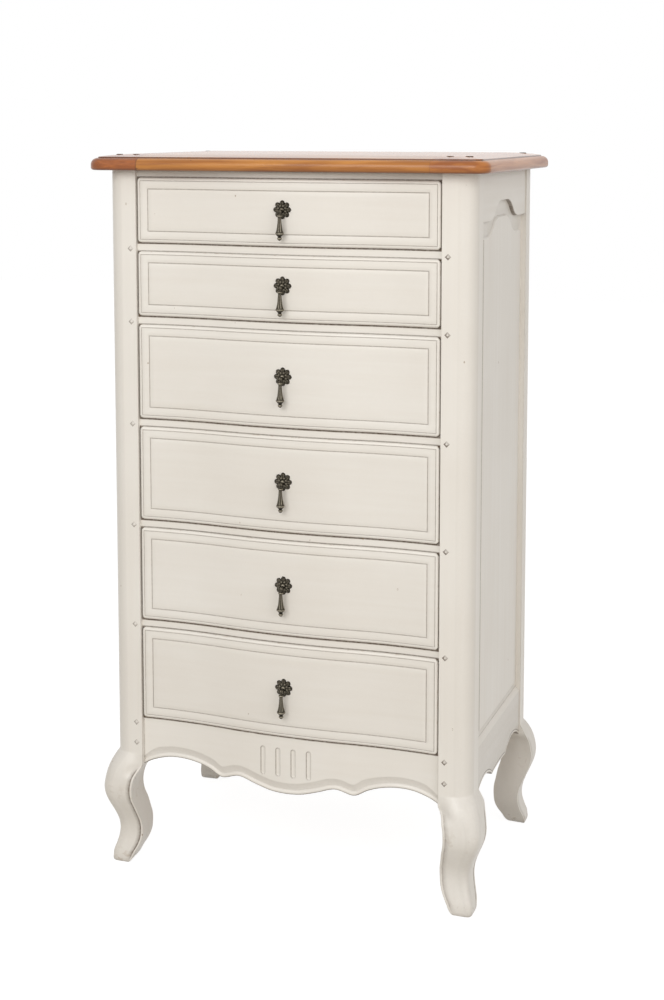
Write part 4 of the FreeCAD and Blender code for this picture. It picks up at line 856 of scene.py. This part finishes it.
def top_peg(x, y):
    """A square peg on one corner: its rim eased, its head a shade above the board, which falls away there."""
    reach = TOP_PEG_SIDE / math.sqrt(2) * np.array([1.0, 1.0, 0.9, 0.5, 0.0])[:, None]
    height = np.array([-4.0, -1.7, -1.3, -1.2, -1.2])[:, None] + HEIGHT
    corner = np.arange(4) * math.pi / 2
    points = np.stack([x + reach * np.cos(corner), y + reach * np.sin(corner),
                       np.broadcast_to(height, (len(reach), 4))], axis=-1)
    return sheet_of(points, glaze_and_shade=np.array([1, 1, 1, 0.92, 0.9])[:, None])


def make_peg_wood():
    """Dark fumed end grain with dry pores, left dull."""
    material, tree, shader = new_material("fumed_pegs")
    place = object_place(tree)
    pores = speckle(tree, place, 700.0, 3.0)
    colour = blend_colours(tree, span(tree, pores, 0.38, 0.62), tone(46, 32, 22), tone(78, 54, 36))
    tree.links.new(colour, shader.inputs["Base Color"])
    tree.links.new(span(tree, pores, 0.3, 0.7, 0.7, 0.9), shader.inputs["Roughness"])
    shader.inputs["Specular IOR Level"].default_value = 0.2
    return material


peg_places = [(side * (TOP_JOINT + step), back * TOP_PEG_Y)
              for side in (-1, 1) for step in (20, 50) for back in (-1, 1)]
build_piece("top_peg_heads", [top_peg(x, y) for x, y in peg_places], make_peg_wood(), "chest", ["top_pegs"],
            20)

# THE DRAWERS
# Six lipped beech fronts on dovetailed beech boxes. Each front is sawn to the same serpentine as the rails, has
# a rolled lip, a fine quirk inside it and one scratched line further in; the box is left bare.

LIP_FRONT = RAIL_FRONT - 6.0
LIP_REACH = POST_X - 2
LIP_THICK = 5.5
LIP_ROLL = 4.5
LIP_CORNER, LIP_DRAW = 7.0, 2.6
FRONT_BACK = -HALF_DEPTH + 24.0
FIELD_INSET = 28
roll = np.linspace(0, math.pi / 2, 8)
# From the lip's back edge inwards: inset from the outline, depth behind the face, glaze and painted shade, wear.
RING_INSET = np.concatenate([[0], LIP_ROLL * (1 - np.cos(roll)),
                             [4.9, 5.3, 5.8, 6.5, 12, 17.4, 18.1, 18.8, 19.5, 20.2]])
RING_DEPTH = np.concatenate([[LIP_THICK], LIP_ROLL * (1 - np.sin(roll)),
                             [0.25, 1.0, 0.3, 0.1, 0.0, 0.0, 0.25, 1.15, 0.25, 0]])
# The lip's roll is darkened as a painted shadow of the gap round it; the quirk and the scratched line hold glaze.
RING_GLAZE_AND_SHADE = np.array([1.0, 0.75, 0.42, 0.14, 0.02, 0, 0, 0, 0, 0.1, 0.62, 0.25, 0.06, 0, 0.04, 0.22, 0.55, 0.22,
                       0.03])
RING_WORN = np.concatenate([[0, 0, 0.15, 0.35, 0.2], np.zeros(len(RING_INSET) - 5)])


def front_sheet(high, low):
    """A drawer front as one loop per x. Its face is a tray of mitred rings: the depth at a point is the
    ring profile at the nearer of its distances to the upright and the level borders, laid on the
    serpentine, and the four corners are drawn in a little, which rounds them. Behind the lip the loop
    steps in to the block that fills the opening, and the glaze and painted shade stay off the block's ends."""
    half = (high - low) / 2
    inner_x = np.linspace(-LIP_REACH + FIELD_INSET, LIP_REACH - FIELD_INSET, 61)
    x = np.concatenate([-LIP_REACH + RING_INSET, inner_x, (LIP_REACH - RING_INSET)[::-1]])
    rows = np.concatenate([RING_INSET, [FIELD_INSET, half, 2 * half - FIELD_INSET], 2 * half - RING_INSET[::-1]])
    inwards = np.arange(len(RING_INSET))
    ring_x, ring_z = (np.concatenate([inwards, np.full(count, inwards[-1]), inwards[::-1]])
                      for count in (len(inner_x), 3))
    ring = np.minimum(ring_x[:, None], ring_z[None, :])
    depth, glaze_and_shade, worn = RING_DEPTH[ring], RING_GLAZE_AND_SHADE[ring], RING_WORN[ring]
    glaze_and_shade[[0, -1]] *= 0.2
    near_x = np.clip(1 - (LIP_REACH - np.abs(x)) / LIP_CORNER, 0, 1)[:, None] ** 2
    near_z = np.clip(1 - np.minimum(rows, 2 * half - rows) / LIP_CORNER, 0, 1)[None, :] ** 2
    draw = LIP_DRAW * near_x * near_z
    x_grid = x[:, None] - np.sign(x)[:, None] * draw
    height = low + rows + draw * np.sign(half - rows)
    curve = LIP_FRONT + serpentine(x)[:, None]
    y = curve + depth
    block_low, block_high = low + RAIL_LAP + 0.4, high - RAIL_LAP - 2.5
    block_front = curve + LIP_THICK
    back_y = np.concatenate([block_front, np.full((len(x), 2), FRONT_BACK), block_front], axis=1)
    back_z = np.broadcast_to(np.array([block_high, block_high, block_low, block_low]), (len(x), 4))
    y = np.concatenate([y, back_y], axis=1)
    z = np.concatenate([height, back_z], axis=1)
    empty = np.zeros((len(x), 4))
    x_grid = np.concatenate([x_grid, np.broadcast_to(x[:, None], empty.shape)], axis=1)
    points = np.stack([x_grid, y, z], axis=-1)
    return sheet_of(points, glaze_and_shade=np.concatenate([glaze_and_shade, empty], axis=1),
                    worn=np.concatenate([worn, empty], axis=1))


for number, (high, low) in enumerate(drawer_levels, start=1):
    name = "drawer_%d" % number
    build_piece(name + "_lipped_front", [front_sheet(high, low)], level_paint, name, [name + "_front"], crease=24)
    dress_node(name + "_sides", bare_along)
    dress_node(name + "_back", bare_across)
    dress_node(name + "_bottom", bare_across)

# THE HANDLES
# Cast brass browned to an antique bronze and rubbed bright on the high places: a flower plate bolted through the
# front, two ears with a pin, and a fluted drop that swings on the pin. A steel nut holds it inside.

HANDLE_RAISE = 5.0
PIVOT_OUT = 12.5
PIVOT_DROP = 2.0
PETAL_PLACE, PETAL_HALF_LENGTH, PETAL_HALF_WIDTH, PETAL_RISE = 10.0, 5.0, 4.3, 3.4


def make_bronze():
    """Browned brass: dark in the hollows, rubbed brighter where the mark says, with a cloudy patina."""
    material, tree, shader = new_material("antique_bronze")
    place = object_place(tree)
    cloud = speckle(tree, place, 420.0, 4.0, 0.4)
    pits = speckle(tree, place, 1500.0, 2.0)
    colour = blend_colours(tree, span(tree, cloud, 0.35, 0.65), tone(50, 46, 39), tone(76, 70, 59))
    rubbed = combine(tree, surface_mark(tree, "worn"), span(tree, cloud, 0.3, 0.6, 0.55, 1.0))
    colour = blend_colours(tree, rubbed, colour, tone(156, 148, 131))
    colour = blend_colours(tree, surface_mark(tree, "glaze_and_shade"), colour, tone(34, 30, 25))
    tree.links.new(colour, shader.inputs["Base Color"])
    tree.links.new(span(tree, pits, 0.3, 0.7, 0.3, 0.5), shader.inputs["Roughness"])
    add_bump(tree, shader, pits, 0.3, 0.0002)
    shader.inputs["Metallic"].default_value = 0.85
    return material


bronze = make_bronze()


def full_turn(count):
    """So many equal steps round a circle."""
    return np.linspace(0, 2 * math.pi, count + 1)[:-1]


def flower_sheet(z):
    """The flower plate over rays from its middle: the outline is that of eight oval petals, each a low dome
    with a fold down its middle, round a ring of eight smaller ones turned half a step, and a centre dome."""
    turn = full_turn(128)
    petal = (turn + math.pi / 8) % (math.pi / 4) - math.pi / 8
    cosine, sine = np.cos(petal), np.sin(petal)
    # The rim is where a ray leaves the petal's oval: the larger root of a quadratic in the radius.
    a = (cosine / PETAL_HALF_LENGTH) ** 2 + (sine / PETAL_HALF_WIDTH) ** 2
    b = -2 * PETAL_PLACE * cosine / PETAL_HALF_LENGTH ** 2
    c = (PETAL_PLACE / PETAL_HALF_LENGTH) ** 2 - 1
    rim = (-b + np.sqrt(np.maximum(b * b - 4 * a * c, 0))) / (2 * a)
    share = np.concatenate([[0, 0.06, 0.12, 0.18, 0.24, 0.29, 0.33, 0.38, 0.43, 0.48, 0.53, 0.57],
                            np.linspace(0.61, 0.96, 11), [1.0, 1.0]])
    radius = share[:, None] * rim[None, :]
    outer = (1 - ((radius * cosine - PETAL_PLACE) / PETAL_HALF_LENGTH) ** 2
             - (radius * sine / PETAL_HALF_WIDTH) ** 2)
    fold = 0.9 * np.exp(-(radius * sine / 0.75) ** 2) * (radius > 6.5)
    outer = PETAL_RISE * np.sqrt(np.clip(outer, 0, 1)) - fold
    half_turn = (turn % (math.pi / 4)) - math.pi / 8
    inner = 1 - ((radius * np.cos(half_turn) - 6.3) / 2.4) ** 2 - (radius * np.sin(half_turn) / 2.1) ** 2
    inner = 2.2 + 2.0 * np.sqrt(np.clip(inner, 0, 1))
    dome = 5.6 * np.sqrt(np.clip(1 - (radius / 4.4) ** 2, 0, 1))
    out = np.maximum(np.maximum(outer, np.where(radius < 9, inner, 0)), dome)
    out = np.maximum(out, np.where(share[:, None] < 0.9, 1.2, 0.3))
    out[-1] = 0.0
    points = np.stack([radius * np.cos(turn + math.pi / 2), LIP_FRONT - out,
                       z + radius * np.sin(turn + math.pi / 2)], axis=-1)
    high_place = np.clip((out - 2.6) / 2.6, 0, 1)
    low_place = np.clip((1.9 - out) / 1.2, 0, 1) * 0.8
    return sheet_of(points, glaze_and_shade=low_place, worn=high_place * 0.7)


def turned_points(profile, x, y, z, axis, facets=32, fluting_depth=0.0):
    """A profile turned about an axis through a point: along it and radius in each row, with an optional
    share of fluting round it."""
    turn = full_turn(facets)
    along, radius = profile[:, 0:1], profile[:, 1:2]
    fluting = profile[:, 2:3] * fluting_depth if fluting_depth else 0.0
    ring = radius * (1 + fluting * (np.cos(FLUTES * turn) - 1))
    steps = {"x": (np.broadcast_to(along, ring.shape), ring * np.cos(turn), ring * np.sin(turn)),
             "y": (ring * np.cos(turn), np.broadcast_to(along, ring.shape), ring * np.sin(turn)),
             "z": (ring * np.cos(turn), ring * np.sin(turn), np.broadcast_to(along, ring.shape))}[axis]
    return np.stack([x + steps[0], y + steps[1], z + steps[2]], axis=-1)


def ear_sheet(x, z):
    """An ear: an oval bar drawn forwards from the dome, thick as a leaf, its end rounded over."""
    share = np.sin(np.linspace(-math.pi / 2, math.pi / 2, 13))
    along = -LIP_FRONT + 7.5 + 8.0 * (share + 1) / 2
    girth = np.sqrt(np.clip(1 - np.clip(share, 0, 1) ** 4, 0, 1)) * np.where(share < -0.999, 0, 1)
    turn = full_turn(16)
    points = np.stack([x + 0.8 * girth[:, None] * np.cos(turn),
                       np.broadcast_to(-along[:, None], (len(share), len(turn))),
                       z + 2.8 * girth[:, None] * np.sin(turn)], axis=-1)
    return sheet_of(points, worn=0.55 * ease(share, 0.2, 0.9)[:, None])


PIN_PROFILE = np.array([[-3.6, 0.0], [-3.6, 0.8], [-3.4, 1.05], [-3.1, 1.1], [3.1, 1.1], [3.4, 1.05], [3.6, 0.8],
                        [3.6, 0.0]])
STUD_PROFILE = np.array([[0.0, 0.0], [0.0, 3.2], [-4.0, 3.0], [-7.6, 2.7], [-8.6, 2.4], [-9.0, 1.8], [-9.0, 0.0]])
BOLT_PROFILE = np.array([[0.5, 0.0], [0.5, 2.0], [26.5, 2.0], [27.1, 1.6], [27.1, 0.0]])
# The drop below its pin: depth, radius, share of fluting. Its collars are rubbed bright, its hollows dark.
FLUTES = 8
DROP_COLLARS, DROP_HOLLOWS = (6, 7, 20, 21, 29, 30), (9, 18, 25, 26, 27)
DROP_PROFILE = np.array([[-2.0, 0.0, 0], [-2.1, 1.0, 0], [-3.2, 1.4, 0], [-4.6, 1.4, 0], [-5.6, 1.9, 0],
                         [-6.0, 3.3, 0], [-6.6, 3.9, 0], [-7.6, 4.0, 0], [-8.3, 3.7, 0], [-8.7, 3.0, 0.1],
                         [-9.6, 2.9, 0.7], [-13, 3.1, 1], [-17, 3.4, 1], [-21, 3.8, 1], [-25, 4.4, 1],
                         [-28.5, 5.1, 1], [-31.2, 5.8, 0.8], [-32.6, 6.1, 0.3], [-33.0, 5.9, 0],
                         [-33.4, 6.4, 0], [-34.2, 6.75, 0], [-35.4, 6.75, 0], [-36.2, 6.3, 0],
                         [-36.7, 5.4, 0], [-38.0, 4.5, 0], [-39.2, 3.3, 0],
                         [-39.9, 2.4, 0], [-40.4, 2.5, 0], [-41.0, 3.3, 0], [-41.8, 3.7, 0], [-42.8, 3.75, 0],
                         [-44.0, 3.2, 0], [-45.1, 2.1, 0], [-45.7, 1.0, 0], [-45.85, 0.0, 0]])


def drop_sheets(z):
    """The drop: a ring about the pin, and a fluted, turned pendant that hangs from it."""
    y = LIP_FRONT - PIVOT_OUT
    around, across = full_turn(24), full_turn(12)
    radius = 1.95 + 0.65 * np.cos(across)
    eye = np.stack([np.broadcast_to(1.2 * np.sin(across), (len(around), len(across))),
                    y + radius * np.cos(around)[:, None], z + radius * np.sin(around)[:, None]], axis=-1)
    eye = np.concatenate([eye, eye[:1]])
    points = turned_points(DROP_PROFILE, 0.0, y, z, "z", 48, 0.09)
    crest = np.cos(FLUTES * full_turn(48))[None, :]
    fluted = DROP_PROFILE[:, 2:3]
    row = np.arange(len(DROP_PROFILE))[:, None]
    collar, hollow = np.isin(row, DROP_COLLARS), np.isin(row, DROP_HOLLOWS)
    worn = np.clip(fluted * np.clip(crest, 0, 1) * 0.9 + collar * 0.85, 0, 1)
    glaze_and_shade = np.clip(fluted * np.clip(-crest - 0.2, 0, 1) * 0.7 + hollow * 0.8, 0, 1)
    return [sheet_of(eye, worn=0.3), sheet_of(points, glaze_and_shade=glaze_and_shade, worn=worn)]


def nut_sheet(z):
    """A six-sided nut whose corners are turned off on both faces."""
    turn = full_turn(36)
    flat = 4.4 * math.cos(math.pi / 6) / np.cos((turn % (math.pi / 3)) - math.pi / 6)
    limit = np.array([2.1, 3.7, 4.4, 4.4, 3.7, 2.1])
    along = np.array([0.0, 0.0, 0.5, 2.7, 3.2, 3.2])
    ring = np.minimum(flat[None, :], limit[:, None])
    points = np.stack([ring * np.cos(turn), np.broadcast_to(FRONT_BACK + along[:, None], ring.shape),
                       z + ring * np.sin(turn)], axis=-1)
    return sheet_of(points)


for number, (high, low) in enumerate(drawer_levels, start=1):
    name = "drawer_%d" % number
    level = (high + low) / 2 + HANDLE_RAISE
    pivot = level - PIVOT_DROP
    stud = turned_points(STUD_PROFILE, 0.0, LIP_FRONT, pivot, "y")
    pin = turned_points(PIN_PROFILE, 0.0, LIP_FRONT - PIVOT_OUT, pivot, "x")
    plate = [flower_sheet(level), sheet_of(stud, glaze_and_shade=0.4), sheet_of(pin, worn=0.4), ear_sheet(-2.6, pivot),
             ear_sheet(2.6, pivot)]
    build_piece(name + "_flower_plate", plate, bronze, name, [name + "_rosette"], 34)
    bolt = turned_points(BOLT_PROFILE, 0.0, FRONT_BACK - 22.0, level, "y", 20)
    build_piece(name + "_bolt_and_nut", [sheet_of(bolt), nut_sheet(level)], steel, name, (), 34)
    build_piece(name + "_hanging_drop", drop_sheets(pivot), bronze, name + "_handle_drop", [name + "_drop"],
                40)

# THE STUDIO
# A wide pale floor, one broad soft lamp in front and a wider, dimmer one to the right, and a pale surround.
# The camera stands where the photographer's did.


def seen_directly(tree):
    """1 for what the camera sees, itself or in gloss or through glass, and 0 for light on its way."""
    rays = add_node(tree, "LightPath").outputs
    seen = combine(tree, rays["Is Camera Ray"], rays["Is Glossy Ray"], "MAXIMUM")
    return combine(tree, seen, rays["Is Transmission Ray"], "MAXIMUM")


def make_floor():
    """A level pale floor that the camera sees as white but for the shade under the chest."""
    reach = np.linspace(-9.0, 9.0, 37)
    x, y = np.meshgrid(reach, reach)
    points = np.stack([x, y, np.full(x.shape, -0.0005)], axis=-1).reshape(-1, 3)
    mesh = bpy.data.meshes.new("studio_floor")
    mesh.from_pydata(points, [], grid_quads(np.arange(x.size).reshape(x.shape)))
    floor = bpy.data.objects.new("studio_floor", mesh)
    bpy.context.scene.collection.objects.link(floor)
    material = bpy.data.materials.new("pale_floor")
    material.use_nodes = True
    tree = material.node_tree
    tree.nodes.clear()
    out = add_node(tree, "OutputMaterial")
    plain = add_node(tree, "BsdfDiffuse", {"Color": (0.54, 0.505, 0.45, 1.0)})
    shade = add_node(tree, "BsdfDiffuse", {"Color": (0.26, 0.26, 0.26, 1.0)})
    glow = add_node(tree, "Emission", {"Color": (1.0, 1.0, 1.0, 1.0), "Strength": 0.9})
    seen = add_node(tree, "AddShader", {0: glow.outputs[0], 1: shade.outputs[0]})
    both = add_node(tree, "MixShader", {0: seen_directly(tree), 1: plain.outputs[0], 2: seen.outputs[0]})
    tree.links.new(both.outputs[0], out.inputs[0])
    mesh.materials.append(material)


make_floor()


def make_surround():
    """A pale surround that the camera and the gloss see as white, and that lights the chest softly."""
    world = bpy.data.worlds.new("studio_surround")
    bpy.context.scene.world = world
    world.use_nodes = True
    tree = world.node_tree
    tree.nodes.clear()
    out = add_node(tree, "OutputWorld")
    soft = add_node(tree, "Background", {"Color": (1.0, 0.99, 0.975, 1.0), "Strength": 0.52})
    white = add_node(tree, "Background", {"Color": (1.0, 1.0, 1.0, 1.0), "Strength": 1.0})
    both = add_node(tree, "MixShader", {0: seen_directly(tree), 1: soft.outputs[0], 2: white.outputs[0]})
    tree.links.new(both.outputs[0], out.inputs[0])


make_surround()


def add_lamp(name, place, aim, width, height, power, colour, mirrored=True):
    """A soft rectangular lamp that faces the point it is aimed at. One that isn't mirrored keeps out of the
    varnish of the top, where it would show as a white patch from behind."""
    lamp = bpy.data.lights.new(name, "AREA")
    lamp.shape = "RECTANGLE"
    lamp.size, lamp.size_y = width, height
    lamp.energy = power
    lamp.color = colour
    holder = bpy.data.objects.new(name, lamp)
    bpy.context.scene.collection.objects.link(holder)
    holder.location = place
    holder.visible_glossy = mirrored
    way = np.array(aim) - np.array(place)
    yaw = math.atan2(-way[0], way[1])
    pitch = math.atan2(way[2], math.hypot(way[0], way[1]))
    holder.rotation_euler = (math.pi / 2 + pitch, 0.0, yaw)


add_lamp("soft_key", (-0.2, -3.6, 2.6), (0.0, 0.0, 0.8), 2.6, 2.0, 66.0, (1.0, 0.995, 0.985))
add_lamp("side_lamp", (3.1, -2.0, 2.0), (0.0, 0.0, 0.8), 3.0, 3.0, 41.0, (1.0, 0.985, 0.975), mirrored=False)

camera_data = bpy.data.cameras.new("photo_camera")
camera_data.lens = 59.36
camera_data.sensor_width = 36.0
camera_data.shift_x = 0.0005
camera_data.shift_y = -0.20
camera = bpy.data.objects.new("photo_camera", camera_data)
bpy.context.scene.collection.objects.link(camera)
camera.location = (0.936, -2.6205, 1.245)
camera.rotation_euler = (math.radians(90 - 6.04), 0.0, math.radians(19.48))
bpy.context.scene.camera = camera
bpy.context.scene.view_settings.view_transform = "Standard"
